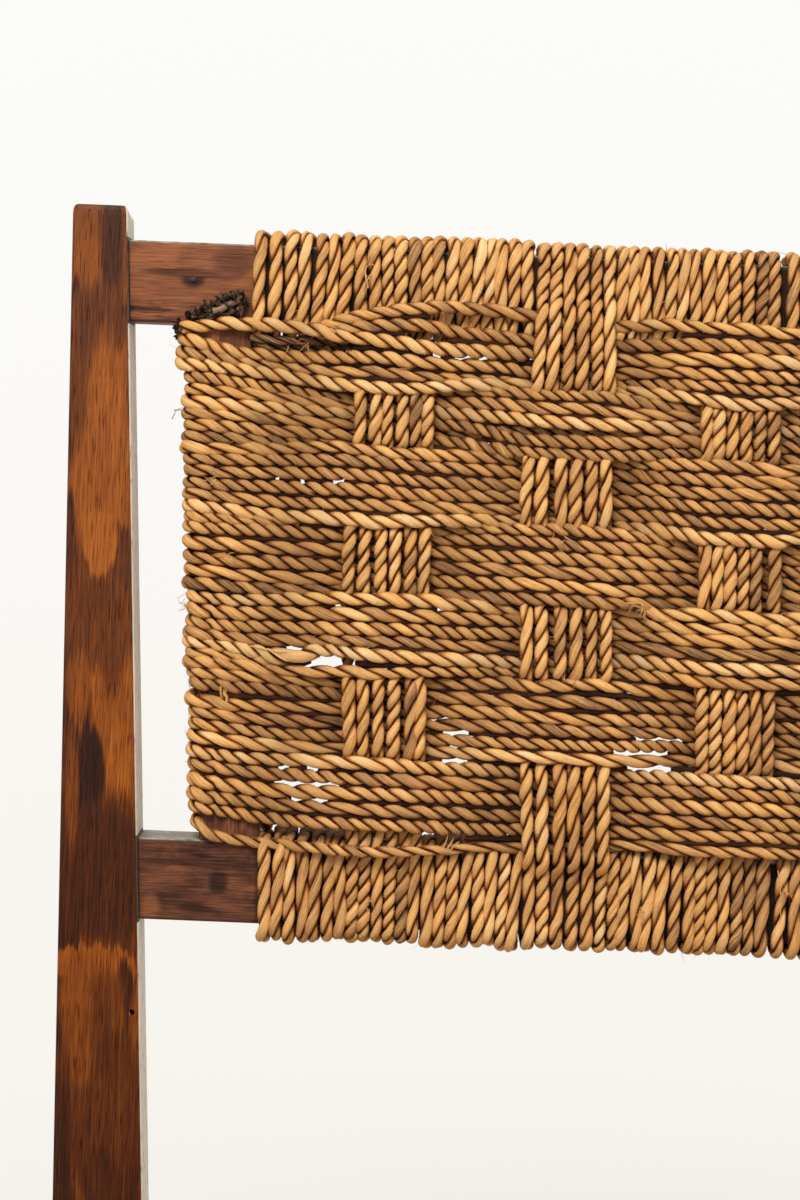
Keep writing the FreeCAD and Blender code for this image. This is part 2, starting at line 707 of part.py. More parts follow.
def weft_corners(weave, row, z):
    """A weft band's line in x and y: over or under each column, from stile to stile."""
    end = weave.stile_outer(z) - TURN_START
    corners = [FreeCAD.Vector(-end, weave.base, 0)]
    for column, centre in enumerate(weave.columns):
        if weave.weft_is_over(row, column):
            half = WARP_WIDTH / 2 + CLEAR
            slope = 2 * THICK
            corners += [FreeCAD.Vector(centre - half - slope, weave.base, 0),
                        FreeCAD.Vector(centre - half, weave.raised, 0),
                        FreeCAD.Vector(centre + half, weave.raised, 0),
                        FreeCAD.Vector(centre + half + slope, weave.base, 0)]
    corners.append(FreeCAD.Vector(end, weave.base, 0))
    return corners


def weft_band(weave, row):
    lower, upper = weave.bands[row]
    corner_lists = [weft_corners(weave, row, z) for z in (lower, upper)]
    radii = [size("slope_radius")] * (len(corner_lists[0]) - 2)
    return band(corner_lists, radii, THICK, across, (lower, upper))


def warp_corners(weave, column):
    """A warp band's line in z and y: over or under each weft band, and flat on the rails at both ends."""
    step = size("step_half_run")
    top = weave.high + weave.rail_z - TURN_START
    bottom = weave.low - weave.rail_z + TURN_START
    levels = [weave.base] + [weave.base if weave.weft_is_over(row, column) else weave.raised
                             for row in range(len(weave.bands))] + [weave.base]
    lines = [weave.bands[0][1] + PASSAGE / 2]
    lines += [(first[0] + second[1]) / 2 for first, second in zip(weave.bands, weave.bands[1:])]
    lines.append(weave.bands[-1][0] - PASSAGE / 2)
    corners = [FreeCAD.Vector(top, weave.base, 0)]
    for line, before, after in zip(lines, levels, levels[1:]):
        if before != after:
            corners += [FreeCAD.Vector(line + step, before, 0), FreeCAD.Vector(line - step, after, 0)]
    corners.append(FreeCAD.Vector(bottom, weave.base, 0))
    return corners


def warp_band(weave, column):
    corners = warp_corners(weave, column)
    radii = [size("step_radius")] * (len(corners) - 2)
    half = (WARP_WIDTH - 2 * CLEAR) / 2
    centre = weave.columns[column]
    return band([corners, corners], radii, THICK, along, (centre - half, centre + half))


def hook_corners(near, far, front, rear, level):
    """A band's line round three sides of a bar, from its front corner to the middle of its inner side."""
    outer = far + math.copysign(level, far - near)
    inner = near - math.copysign(level, far - near)
    middle = (front + rear) / 2
    return [FreeCAD.Vector(far - math.copysign(TURN_START, far - near), front - level, 0),
            FreeCAD.Vector(outer, front - level, 0), FreeCAD.Vector(outer, rear + level, 0),
            FreeCAD.Vector(inner, rear + level, 0), FreeCAD.Vector(inner, middle, 0)]


def hook(near_far, front, rear, lift, places):
    """The part of a band that turns round a bar: its outer side, its rear and half of its inner side."""
    level = CLEAR + THICK / 2
    corner_lists = [hook_corners(near, far, front, rear, level) for near, far in near_far]
    radii = [CORNER + level] * 3
    return band(corner_lists, radii, THICK, lift, places)


def winding(weave, rail_low, rail_high, start, end, inner_side):
    """Turns of cord round a rail, from one column to the next, as one tube: its solid and its least gap."""
    level = CLEAR + TUBE / 2
    turns = int((end - start - 2 * CLEAR - TUBE) / (TUBE + size("winding_least_gap")))
    pitch = (end - start - 2 * CLEAR - TUBE) / turns
    low, high = rail_low - level, rail_high + level
    front, rear = weave.front - level, weave.rear + level
    middle = (front + rear) / 2
    if inner_side > 0:
        loop = [(middle, high), (rear, high), (rear, low), (front, low), (front, high), (middle, high)]
    else:
        loop = [(middle, low), (rear, low), (rear, high), (front, high), (front, low), (middle, low)]
    runs = [math.dist(first, last) for first, last in zip(loop, loop[1:])]
    round_trip = sum(runs)
    first_x = start + CLEAR + TUBE / 2
    corners = [FreeCAD.Vector(first_x, *loop[0])]
    for turn in range(turns):
        travelled = 0
        for run, (y, z) in zip(runs[:4], loop[1:5]):
            travelled += run
            corners.append(FreeCAD.Vector(first_x + pitch * (turn + travelled / round_trip), y, z))
    corners.append(FreeCAD.Vector(first_x + pitch * turns, *loop[-1]))
    pieces = rounded_path(corners, [CORNER + level] * (len(corners) - 2))
    path = Part.Wire(path_edges(pieces))
    begin = (pieces[0][1] - pieces[0][0]).normalize()
    circle = Part.Wire(Part.Circle(corners[0], begin, TUBE / 2).toShape())
    tube = path.makePipeShell([circle], True, False)
    points = path.discretize(Distance=pitch / 2)
    one_turn = int(round_trip / (pitch / 2) / 2)
    gap = min((first - second).Length for index, first in enumerate(points)
              for second in points[index + one_turn:]) - TUBE
    return tube, gap


def woven_panel(panel, rail_names):
    weave = Weave(panel)
    placement = panel.frame.placement()
    count = len(weave.bands)
    for row in range(count):
        piece = doc.addObject("Part::Feature", f"{panel.name}_weft_{row + 1}_shape")
        piece.Shape = weft_band(weave, row)
        keep(piece, f"{panel.name}_weft_{row + 1}", placement)
    for column in range(len(weave.columns)):
        piece = doc.addObject("Part::Feature", f"{panel.name}_warp_{column + 1}_shape")
        piece.Shape = warp_band(weave, column)
        keep(piece, f"{panel.name}_warp_{column + 1}", placement)
    for side, hand in ((-1, "left"), (1, "right")):
        hooks = []
        for lower, upper in weave.bands:
            outer_lines = [weave.stile_outer(z) for z in (lower, upper)]
            near_far = [(side * (outer - size(panel.stile_width)), side * outer) for outer in outer_lines]
            hooks.append(hook(near_far, weave.front, weave.rear, across, (lower, upper)))
        piece = doc.addObject("Part::Feature", f"{panel.name}_turns_{hand}_shape")
        piece.Shape = Part.makeCompound(hooks)
        keep(piece, f"{panel.name}_turns_{hand}", placement)
    half = (WARP_WIDTH - 2 * CLEAR) / 2
    rail_places = ((weave.high, weave.high + weave.rail_z, -1), (weave.low - weave.rail_z, weave.low, 1))
    for word, (rail_low, rail_high, inner_side) in zip(rail_names, rail_places):
        near, far = (rail_low, rail_high) if inner_side < 0 else (rail_high, rail_low)
        inner = weave.stile_outer((rail_low + rail_high) / 2) - size(panel.stile_width)
        solids = [hook([(near, far)] * 2, weave.front, weave.rear, along, (centre - half, centre + half))
                  for centre in weave.columns]
        limits = [-inner] + [centre + offset for centre in weave.columns
                             for offset in (-WARP_WIDTH / 2, WARP_WIDTH / 2)] + [inner]
        gaps = []
        for start, end in zip(limits[0::2], limits[1::2]):
            tube, gap = winding(weave, rail_low, rail_high, start, end, inner_side)
            solids.append(tube)
            gaps.append(gap)
        print(f"{panel.name} {word} rail: least gap of a winding to itself {min(gaps):.2f} mm")
        piece = doc.addObject("Part::Feature", f"{panel.name}_winding_{word}_shape")
        piece.Shape = Part.makeCompound(solids)
        keep(piece, f"{panel.name}_winding_{word}", placement)


woven_panel(BACK, ("top", "bottom"))
woven_panel(SEAT, ("rear", "front"))


def cord_tuft():
    """The knotted end of a cord on the top rail: a flat lump against the rail's front."""
    lump = doc.addObject("Part::Ellipsoid", "cord_tuft_shape")
    lump.setExpression("Radius1", bound("tuft_height / 2"))
    lump.setExpression("Radius2", bound("tuft_length / 2"))
    lump.setExpression("Radius3", bound("tuft_thickness / 2"))
    y = f"{BACK.front_y} - cord_clearance - tuft_thickness / 2"
    place = FreeCAD.Vector(size(TUFT_X), size(y), size("back_length - tuft_drop"))
    return lump, BACK_FRAME.placement().multiply(FreeCAD.Placement(place, FreeCAD.Rotation()))


def cord_nail():
    """A small nail with a round head, driven into the top rail."""
    shank = doc.addObject("Part::Cylinder", "nail_shank_shape")
    shank.setExpression("Radius", bound("nail_shank"))
    shank.setExpression("Height", bound("nail_length - nail_clearance"))
    head = doc.addObject("Part::Cylinder", "nail_head_shape")
    head.setExpression("Radius", bound("nail_head"))
    head.setExpression("Height", bound("nail_head_height"))
    head.setExpression("Placement.Base.z", bound("-nail_head_height"))
    nail = doc.addObject("Part::Fuse", "cord_nail_shape")
    nail.Base = head
    nail.Tool = shank
    place = FreeCAD.Vector(size(NAIL_X), size(f"{BACK.front_y} - nail_clearance"),
                           size("back_length - nail_drop"))
    turned = FreeCAD.Placement(place, FreeCAD.Rotation(AXES["x"], -90))
    return nail, BACK_FRAME.placement().multiply(turned)


lump, lump_place = cord_tuft()
keep(lump, "cord_tuft", lump_place)
nail, nail_seat = cord_nail()
keep(nail, "cord_nail", nail_seat)
doc.recompute()

# The origin is under the middle of the chair, on the floor
boxes = [piece.Shape.optimalBoundingBox(False) for piece in SUBPARTS]
middle = (min(box.YMin for box in boxes) + max(box.YMax for box in boxes)) / 2
shift = FreeCAD.Placement(FreeCAD.Vector(0, -middle, 0), FreeCAD.Rotation())
for piece in SUBPARTS:
    piece.Placement = shift.multiply(piece.Placement)
doc.recompute()

for item in doc.Objects:
    if "Invalid" in item.State or "Error" in item.State:
        raise RuntimeError(f"{item.Label} failed: {item.State}")
for piece in SUBPARTS:
    if piece.Shape.isNull() or not piece.Shape.isValid() or not piece.Shape.Solids:
        raise RuntimeError(f"{piece.Label} has no valid solid")

os.makedirs("parts", exist_ok=True)
for piece in SUBPARTS:
    piece.Shape.exportStep(os.path.join("parts", f"{piece.Label}.step"))
whole = [piece.Shape.optimalBoundingBox(False) for piece in SUBPARTS]
print("sub-parts", len(SUBPARTS))
print("width", round(max(box.XMax for box in whole) - min(box.XMin for box in whole), 1),
      "depth", round(max(box.YMax for box in whole) - min(box.YMin for box in whole), 1),
      "height", round(max(box.ZMax for box in whole), 1))
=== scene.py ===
import json
import math

import bpy
import numpy as np
from mathutils import Matrix, Vector


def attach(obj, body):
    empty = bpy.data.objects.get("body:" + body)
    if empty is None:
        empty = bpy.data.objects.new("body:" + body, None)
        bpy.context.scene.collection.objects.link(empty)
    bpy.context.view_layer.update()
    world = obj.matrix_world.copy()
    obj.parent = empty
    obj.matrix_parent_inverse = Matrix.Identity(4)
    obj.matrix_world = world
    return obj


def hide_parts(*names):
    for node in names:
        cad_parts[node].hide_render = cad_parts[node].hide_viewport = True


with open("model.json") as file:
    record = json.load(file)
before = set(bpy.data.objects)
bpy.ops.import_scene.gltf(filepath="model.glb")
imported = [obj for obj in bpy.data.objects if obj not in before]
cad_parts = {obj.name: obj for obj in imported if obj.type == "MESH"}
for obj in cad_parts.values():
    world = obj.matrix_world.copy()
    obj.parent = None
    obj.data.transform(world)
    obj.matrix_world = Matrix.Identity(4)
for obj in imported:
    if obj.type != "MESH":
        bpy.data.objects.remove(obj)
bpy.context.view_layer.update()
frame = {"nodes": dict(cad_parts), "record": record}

MM = 0.001
random = np.random.default_rng(7)

# Places of the chair in millimetres and degrees, as its solids have them
BACK_RECLINE = 13.0
SEAT_TILT = 3.2
SEAT_REAR_HEIGHT = 375.0
REAR_RAKE = 9.0
BACK_LENGTH = 451.0
POST_SPLAY = 2.16
POST_FRONT = -15.0
RAIL_CORNER = 1.8
STILE_WIDTH = 25.0

# The middle of the rear legs at the seat, from which both panels' frames are measured
rear_foot = next(mount for mount in frame["record"]["mounts"] if mount["name"] == "foot_rear_left")
ORIGIN_Y = rear_foot["pos_m"][1] / MM - SEAT_REAR_HEIGHT * math.tan(math.radians(REAR_RAKE))


def panel_matrix(turn):
    """A panel frame: x across, y away from the sitter, z along the warps, in millimetres."""
    place = Matrix.Translation(Vector((0, ORIGIN_Y * MM, SEAT_REAR_HEIGHT * MM)))
    return np.array(place @ Matrix.Rotation(math.radians(turn), 4, "X") @ Matrix.Scale(MM, 4))


BACK_MATRIX = panel_matrix(-BACK_RECLINE)
SEAT_MATRIX = panel_matrix(-90 - SEAT_TILT)

# The camera stands square to the back, as the photograph was taken
VIEW_DISTANCE = 1220.0
PIXEL_SIZE = 0.4135
PICTURE_HEIGHT = 1200.0
VIEW_CENTRE = (400.0, 451.5)
VIEW_ROLL = math.radians(2.32)
FOCAL_PIXELS = VIEW_DISTANCE / PIXEL_SIZE
CAMERA_SPOT = np.array([-142.5, POST_FRONT - VIEW_DISTANCE, 353.65])
VIEW_RIGHT = np.array([math.cos(VIEW_ROLL), 0, math.sin(VIEW_ROLL)])
VIEW_UP = np.array([-math.sin(VIEW_ROLL), 0, math.cos(VIEW_ROLL)])
SENSOR = 36.0
NEAREST_SEEN, FARTHEST_SEEN = 0.05, 200.0


def link(thing):
    bpy.context.scene.collection.objects.link(thing)
    return thing


def make_camera():
    turn = Matrix((VIEW_RIGHT, VIEW_UP, (0, -1, 0))).transposed().to_4x4()
    turn.translation = Vector(CAMERA_SPOT)
    data = bpy.data.cameras.new("camera")
    data.sensor_fit = "VERTICAL"
    data.sensor_height = SENSOR
    data.lens = FOCAL_PIXELS / PICTURE_HEIGHT * SENSOR
    data.shift_y = (VIEW_CENTRE[1] - PICTURE_HEIGHT / 2) / PICTURE_HEIGHT
    data.clip_start = NEAREST_SEEN
    data.clip_end = FARTHEST_SEEN
    camera = link(bpy.data.objects.new("camera", data))
    spot, facing, _ = (Matrix(BACK_MATRIX.tolist()) @ turn).decompose()
    camera.matrix_world = Matrix.LocRotScale(spot, facing, None)
    bpy.context.scene.camera = camera


make_camera()


def from_picture(px, py, depth):
    """The point in the back's frame that the picture shows at a pixel, at a depth y."""
    ray = (np.array([0, 1, 0]) + (px - VIEW_CENTRE[0]) / FOCAL_PIXELS * VIEW_RIGHT
           + (VIEW_CENTRE[1] - py) / FOCAL_PIXELS * VIEW_UP)
    return CAMERA_SPOT + ray * (depth - CAMERA_SPOT[1])


# Lines and curves

ACROSS = np.array([1.0, 0, 0])
ALONG = np.array([0, 0, 1.0])


def smooth(stations, values, at):
    """A smooth curve through points: each span is a cubic with averaged slopes."""
    stations = np.asarray(stations, float)
    values = np.asarray(values, float)
    at = np.clip(at, stations[0], stations[-1])
    rises = np.diff(values) / np.diff(stations)
    slopes = np.concatenate([[rises[0]], (rises[1:] + rises[:-1]) / 2, [rises[-1]]])
    span = np.clip(np.searchsorted(stations, at) - 1, 0, len(stations) - 2)
    width = stations[span + 1] - stations[span]
    share = (at - stations[span]) / width
    cube, square = share ** 3, share ** 2
    return ((2 * cube - 3 * square + 1) * values[span] + (cube - 2 * square + share) * width * slopes[span]
            + (3 * square - 2 * cube) * values[span + 1] + (cube - square) * width * slopes[span + 1])


def lengths(points):
    return np.concatenate([[0], np.cumsum(np.linalg.norm(np.diff(points, axis=0), axis=1))])


def wave(travelled, length):
    """Smooth random values between about -1 and 1 along a line."""
    knots = np.arange(travelled[0] - length, travelled[-1] + 2 * length, length)
    return smooth(knots, random.uniform(-1, 1, len(knots)), travelled)


def fade(x, reach, soft):
    """1 in the middle of a panel, falling to 0 at a reach to either side."""
    return np.clip((reach - np.abs(x)) / soft, 0, 1)


def unit(vectors):
    """Vectors of length one along the last axis."""
    return vectors / np.maximum(np.linalg.norm(vectors, axis=-1, keepdims=True), 1e-9)


def arc(centre, radius, start, end, steps=6):
    """Points on an arc in a plane, from one angle to another, in degrees."""
    angles = np.radians(np.linspace(start, end, steps))
    return np.stack([centre[0] + radius * np.cos(angles), centre[1] + radius * np.sin(angles)], axis=1)


def curl(start, way, length, bend, count=7):
    """A curved line that starts at a point and wanders as it goes."""
    way = np.asarray(way, float) / np.linalg.norm(way)
    points = [np.asarray(start, float)]
    turn = random.normal(0, bend, 3)
    for _ in range(count - 1):
        turn = turn + random.normal(0, bend * 0.5, 3)
        way = unit(way + turn / count)
        points.append(points[-1] + way * length / (count - 1))
    return np.array(points)


# Twisted cord of two plies, laid right-handed

LAY_LENGTH = 17.0
CORD_RADIUS = 2.93
PLY_SHARE = 0.54
PLY_FLATTENING = 1.26
FIBRE_TURN = 0.14
# How uneven a cord is: the share by which each property changes, and the length of its waves
LAY_CHANGE, LAY_WAVE = 0.36, 48.0
TURN_CHANGE, TURN_WAVE = 0.4, 13.0
THICKNESS_CHANGE, THICKNESS_WAVE = 0.07, 30.0
SWELL_CHANGE, SWELL_WAVE = 0.13, 9.0
TONE_CHANGE, TONE_WAVE = 0.14, 24.0
# How far cords differ from one another in lay, and plies in thickness and tone
LAY_SPREAD, PLY_SPREAD, TONE_SPREAD = 0.12, 0.13, 0.1
# Where plies have opened: the length of it, and the shares by which they turn less, part and swell
LOOSENED_LENGTH = 9.0
LOOSENED_TURN, LOOSENED_GAP, LOOSENED_SWELL = 0.75, 0.45, 0.25
# Every cord starts at its own place in the fibres' pattern, and its second ply farther on
PATTERN_LENGTH = 900.0
PATTERN_STEP = 300.0
# Cord behind this plane of a panel has turned round a bar and is shaded by the renderer alone
FRAME_FRONT = -1.0


class Cord:
    """The two plies of one cord along a line, as rings of points."""

    def __init__(self, line, reference, fineness, radius=CORD_RADIUS, tone=0.5, lay=LAY_LENGTH,
                 open_near=None, shade=None):
        spacing, sides = fineness
        line = np.asarray(line, float)
        steps = np.linalg.norm(np.diff(line, axis=0), axis=1)
        line = line[np.concatenate([[True], steps > 1e-6])]
        run = lengths(line)
        count = max(int(run[-1] / spacing), 3)
        travelled = np.linspace(0, run[-1], count + 1)
        centre = np.stack([np.interp(travelled, run, column) for column in line.T], axis=1)
        for _ in range(2):
            centre[1:-1] = (centre[:-2] + 2 * centre[1:-1] + centre[2:]) / 4
        tangent = unit(np.gradient(centre, axis=0))
        side = unit(reference - (tangent @ reference)[:, None] * tangent)
        other = np.cross(tangent, side)
        angles = np.linspace(-math.pi, math.pi, sides, endpoint=False)
        loosened = np.zeros(count + 1)
        if open_near is not None:
            loosened = np.exp(-((centre[:, 0] - open_near) / LOOSENED_LENGTH) ** 2)
        step = travelled[1] / lay / random.uniform(1 - LAY_SPREAD, 1 + LAY_SPREAD)
        step = step * (1 + LAY_CHANGE * wave(travelled, LAY_WAVE))
        turned = 2 * math.pi * (np.cumsum(step * (1 - LOOSENED_TURN * loosened)) + random.uniform(0, 1))
        turned = turned + TURN_CHANGE * wave(travelled, TURN_WAVE)
        thickness = radius * (1 + THICKNESS_CHANGE * wave(travelled, THICKNESS_WAVE))
        offset = thickness * (1 - PLY_SHARE) * (1 + LOOSENED_GAP * loosened)
        uneven = random.uniform(-PLY_SPREAD, PLY_SPREAD)
        pattern_start = random.uniform(0, PATTERN_LENGTH)
        self.centre, self.tangent, self.travelled = centre, tangent, travelled
        self.rings, self.fibre, self.normals = np.empty((3, 2, count + 1, sides, 3))
        self.tone = np.ones((2, count + 1, sides, 4))
        for ply in range(2):
            phase = (turned + math.pi * ply)[:, None]
            swell = thickness * PLY_SHARE * (1 + SWELL_CHANGE * wave(travelled, SWELL_WAVE)
                                             + LOOSENED_SWELL * loosened + uneven * (1 - 2 * ply))
            radial = np.cos(phase) * side + np.sin(phase) * other
            across = -np.sin(phase) * side + np.cos(phase) * other
            out = offset[:, None] + swell[:, None] * np.cos(angles)
            wide = PLY_FLATTENING * swell[:, None] * np.sin(angles)
            rings = (centre[:, None, :] + radial[:, None, :] * out[:, :, None]
                     + across[:, None, :] * wide[:, :, None])
            away = rings - centre[:, None, :]
            turning = angles + FIBRE_TURN * travelled[:, None]
            self.fibre[ply, :, :, 0] = travelled[:, None] + pattern_start + PATTERN_STEP * ply
            self.fibre[ply, :, :, 1] = np.cos(turning) * radius * PLY_SHARE
            self.fibre[ply, :, :, 2] = np.sin(turning) * radius * PLY_SHARE
            shift = random.uniform(-TONE_SPREAD, TONE_SPREAD) + TONE_CHANGE * wave(travelled, TONE_WAVE)
            # The tone holds the cord's own lightness, then two masks of painted shade: where the two plies
            # meet, and on the flanks where neighbouring cords touch
            self.tone[ply, :, :, 0] = np.clip(tone + shift, 0, 1)[:, None]
            self.tone[ply, :, :, 1] = 0.5 + 0.5 * np.cos(angles)
            self.tone[ply, :, :, 2] = np.clip(np.abs((away * other[:, None, :]).sum(2)) / radius, 0, 1)
            around = np.roll(rings, -1, axis=1) - np.roll(rings, 1, axis=1)
            normals = unit(np.cross(around, np.gradient(rings, axis=0)))
            outside = rings - rings.mean(1)[:, None, :]
            self.normals[ply] = normals * np.sign((normals * outside).sum(2))[:, :, None]
            self.rings[ply] = rings
        # Painted shade: a cord before the frame is darkened by the share given along x, where it lies in a
        # recess
        if shade is not None:
            front = centre[:, 1] < FRAME_FRONT
            self.tone[..., 3] = np.where(front, np.interp(centre[:, 0], *shade), 1)[None, :, None]

    def sprout(self, share):
        """Places and ways for loose hairs, at random rings of the cord's outside."""
        found = []
        for _ in range(random.poisson(self.travelled[-1] * share)):
            ply = int(random.integers(2))
            ring = int(random.integers(len(self.centre)))
            point = self.rings[ply, ring, self.rings.shape[2] // 2 + int(random.integers(-1, 2))]
            found.append((point, self.tangent[ring], point - self.centre[ring]))
        return found


HAIR_GUIDE = np.array([0.3, 1.0, 0.2])
HAIR_TAPER = 0.8
BLUNT_TAPER = 0.3
BLUNT_ROUGHNESS = 0.3


class Hair:
    """A bundle of fibres as one thin tapered tube, in the same terms as a cord."""

    def __init__(self, line, radius, tone=0.5, sides=3, blunt=False):
        line = np.asarray(line, float)
        count = len(line)
        tangent = unit(np.gradient(line, axis=0))
        side = unit(np.cross(tangent, HAIR_GUIDE if abs(tangent[0] @ HAIR_GUIDE) < 1.0 else ACROSS))
        other = np.cross(tangent, side)
        angles = np.linspace(0, 2 * math.pi, sides, endpoint=False)
        share = np.linspace(0, 1, count)
        taper = radius * (1 - (BLUNT_TAPER if blunt else HAIR_TAPER) * share ** 2)
        taper = taper * (1 + BLUNT_ROUGHNESS * random.uniform(-1, 1, count) * blunt)
        ring = np.cos(angles)[:, None] * side[:, None, :] + np.sin(angles)[:, None] * other[:, None, :]
        self.rings = (line[:, None, :] + taper[:, None, None] * ring)[None]
        self.normals = ring[None]
        self.fibre = np.empty((1, count, sides, 3))
        self.fibre[0, :, :, 0] = (share * 10)[:, None] + random.uniform(0, PATTERN_LENGTH)
        self.fibre[0, :, :, 1] = np.cos(angles) * radius
        self.fibre[0, :, :, 2] = np.sin(angles) * radius
        self.tone = np.ones((1, count, sides, 4))
        self.tone[..., 0] = tone


# A tube of painted shade in a groove: its sides, how narrow its ends are, and its tone, dark and fully
# shaded
CREVICE_SHADE_SIDES = 6
CREVICE_SHADE_END = 0.6
CREVICE_SHADE_TONE = (0.0, 0.2, 0.2, 1.0)


class CreviceShade:
    """A dark, ragged tube of painted shade that runs in the groove between two cords."""

    def __init__(self, line, radii):
        count, sides = len(line), CREVICE_SHADE_SIDES
        angles = np.linspace(0, 2 * math.pi, sides, endpoint=False)
        ring = np.stack([np.zeros(sides), np.cos(angles), np.sin(angles)], axis=1)
        inward = np.minimum(np.minimum(np.arange(count), np.arange(count)[::-1]) / 2, 1)
        ends = inward * (1 - CREVICE_SHADE_END) + CREVICE_SHADE_END
        self.rings = (line[:, None, :] + (radii * ends)[:, None, None] * ring)[None]
        self.normals = np.broadcast_to(ring, (1, count, sides, 3))
        self.fibre = self.rings
        self.tone = np.broadcast_to(CREVICE_SHADE_TONE, (1, count, sides, 4))


class Piece:
    """A mesh gathered from stretches of cord, with what its material reads."""

    def __init__(self, name, matrix, slot, *replaced):
        self.name, self.matrix, self.slot, self.replaced = name, matrix, slot, replaced
        self.parts = [], [], [], []
        self.quads, self.ends = [], []
        self.count = 0

    def take(self, cord, first=0, last=None):
        """Adds a cord, or the rings of it from one to another."""
        plies, rings, sides = cord.rings.shape[:3]
        last = rings - 1 if last is None else last
        if last - first < 1:
            return
        near = np.arange(sides)
        far = (near + 1) % sides
        for ply in range(plies):
            for part, values in zip(self.parts, (cord.rings, cord.normals, cord.fibre, cord.tone)):
                part.append(values[ply, first:last + 1].reshape(-1, values.shape[-1]))
            rows = np.arange(last - first)[:, None] * sides + self.count
            quads = np.stack([rows + near, rows + far, rows + sides + far, rows + sides + near], axis=-1)
            self.quads.append(quads.reshape(-1, 4))
            end = self.count + (last - first) * sides
            self.ends += [near[::-1] + self.count, near + end]
            self.count = end + sides

    def build(self, material):
        points, normals, fibre, tone = (np.concatenate(part) for part in self.parts)
        points = points @ self.matrix[:3, :3].T + self.matrix[:3, 3]
        quads = np.concatenate(self.quads)
        sizes = np.concatenate([np.full(len(quads), 4), [len(end) for end in self.ends]]).astype(np.int32)
        corners = np.concatenate([quads.ravel(), *self.ends]).astype(np.int32)
        starts = np.concatenate([[0], np.cumsum(sizes)[:-1]]).astype(np.int32)
        mesh = bpy.data.meshes.new(self.name)
        mesh.vertices.add(len(points))
        mesh.vertices.foreach_set("co", points.astype(np.float32).ravel())
        mesh.loops.add(len(corners))
        mesh.loops.foreach_set("vertex_index", corners)
        mesh.polygons.add(len(sizes))
        mesh.polygons.foreach_set("loop_start", starts)
        mesh.polygons.foreach_set("use_smooth", sizes == 4)
        for name, kind, key, values in (("fibre", "FLOAT_VECTOR", "vector", fibre),
                                        ("tone", "FLOAT_COLOR", "color", tone)):
            attribute = mesh.attributes.new(name, kind, "POINT")
            attribute.data.foreach_set(key, values.astype(np.float32).ravel())
        mesh.update(calc_edges=True)
        mesh.normals_split_custom_set_from_vertices(normals @ self.matrix[:3, :3].T / MM)
        mesh.materials.append(material)
        piece = link(bpy.data.objects.new(self.name, mesh))
        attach(piece, "root")
        if self.replaced:
            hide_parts(*self.replaced)


def lay(segments, pieces, reference, fineness, **look):
    """One cord along joined segments, each of which belongs to a piece of its own."""
    line = np.concatenate(segments)
    marks = np.cumsum([len(segment) for segment in segments])[:-1]
    run = lengths(line)
    cord = Cord(line, reference, fineness, **look)
    stops = [0, *np.searchsorted(cord.travelled, run[marks]), len(cord.travelled) - 1]
    for piece, first, last in zip(pieces, stops, stops[1:]):
        piece.take(cord, int(first), int(last))
    return cord


# The two woven panels

# How far before the rails' front a cord's middle lies: on a rail, under and over another, and between
ROOM = 3.0
UNDER = 3.2
OVER = 10.0
FREE = 5.6
# How far from a bar's outer side the bend round it starts
HOOK_START = 6.0


class Panel:
    """Places of one woven panel in its own frame.

    front and rear are its rails' faces, high and low are the rails' sides in the opening, and rail is the
    rails' height. outer_high and outer_low are half the width over the bars at high and low. fineness is
    the spacing of a cord's rings and the number of their sides."""

    def __init__(self, **places):
        vars(self).update(places)

    def piece(self, looks, node, slot):
        """The piece of this panel that stands for one of its nodes."""
        return Piece(f"{self.name}_{looks}", self.matrix, slot, f"{self.name}_{node}")

    def hook_pieces(self):
        return {side: self.piece(f"hooks_{hand}", f"turns_{hand}", "weft_cord")
                for side, hand in ((-1, "left"), (1, "right"))}

    def wrap_pieces(self):
        return {at_high: self.piece(f"wraps_{rail}", f"winding_{rail}", "winding_cord")
                for at_high, rail in zip((True, False), self.rails)}

    def outer(self, z):
        """Half the distance between the outer faces of the bars that the wefts turn round."""
        share = (self.high - z) / (self.high - self.low)
        return self.outer_high + (self.outer_low - self.outer_high) * share

    def weft_hook(self, side, z_start, z_turn, bulge):
        """From the panel's front round the bar's outer side, its rear and its inner side."""
        outer = self.outer(z_turn)
        bend = RAIL_CORNER + ROOM
        ahead, behind = self.front + RAIL_CORNER, self.rear - RAIL_CORNER
        far, near = outer - RAIL_CORNER, outer - STILE_WIDTH + RAIL_CORNER
        flat = np.concatenate([[[outer - HOOK_START, self.front - ROOM]], arc((far, ahead), bend, -90, 0),
                               arc((far, behind), bend, 0, 90), arc((near, behind), bend, 90, 180),
                               [[near - bend, self.front + 1.0]]])
        flat[1:13, 0] += bulge
        z = np.interp(np.arange(len(flat)), [0, 4, 9, len(flat) - 1],
                      [z_start, z_turn, z_turn + random.uniform(-0.8, 0.8), z_turn + random.uniform(-2, 2)])
        return np.stack([side * flat[:, 0], flat[:, 1], z], axis=1)

    def rail_loop(self, at_high, slack=0.0, front_slack=0.0, hang=0.0):
        """Once round a rail, from its side in the opening over its front: y and z."""
        bend = RAIL_CORNER + ROOM
        ahead, behind = self.front + RAIL_CORNER, self.rear - RAIL_CORNER
        close, away = RAIL_CORNER, self.rail - RAIL_CORNER
        middle = [[(self.front + self.rear) / 2, -ROOM]]
        flat = np.concatenate([
            middle, arc((ahead, close), bend, 270, 180), arc((ahead, away), bend, 180, 90),
            arc((behind, away), bend, 90, 0), arc((behind, close), bend, 0, -90), middle])
        outside = np.clip((flat[:, 1] - away) / bend, 0, 1)
        inside = np.clip((close - flat[:, 1]) / bend, 0, 1)
        flat[:, 1] += slack * outside - hang * inside
        flat[:, 0] += 0.5 * max(hang, 0.0) * inside
        flat[:, 0] -= front_slack * np.clip((self.front - flat[:, 0]) / ROOM, 0, 1)
        z = self.high + flat[:, 1] if at_high else self.low - flat[:, 1]
        return np.stack([flat[:, 0], z], axis=1)


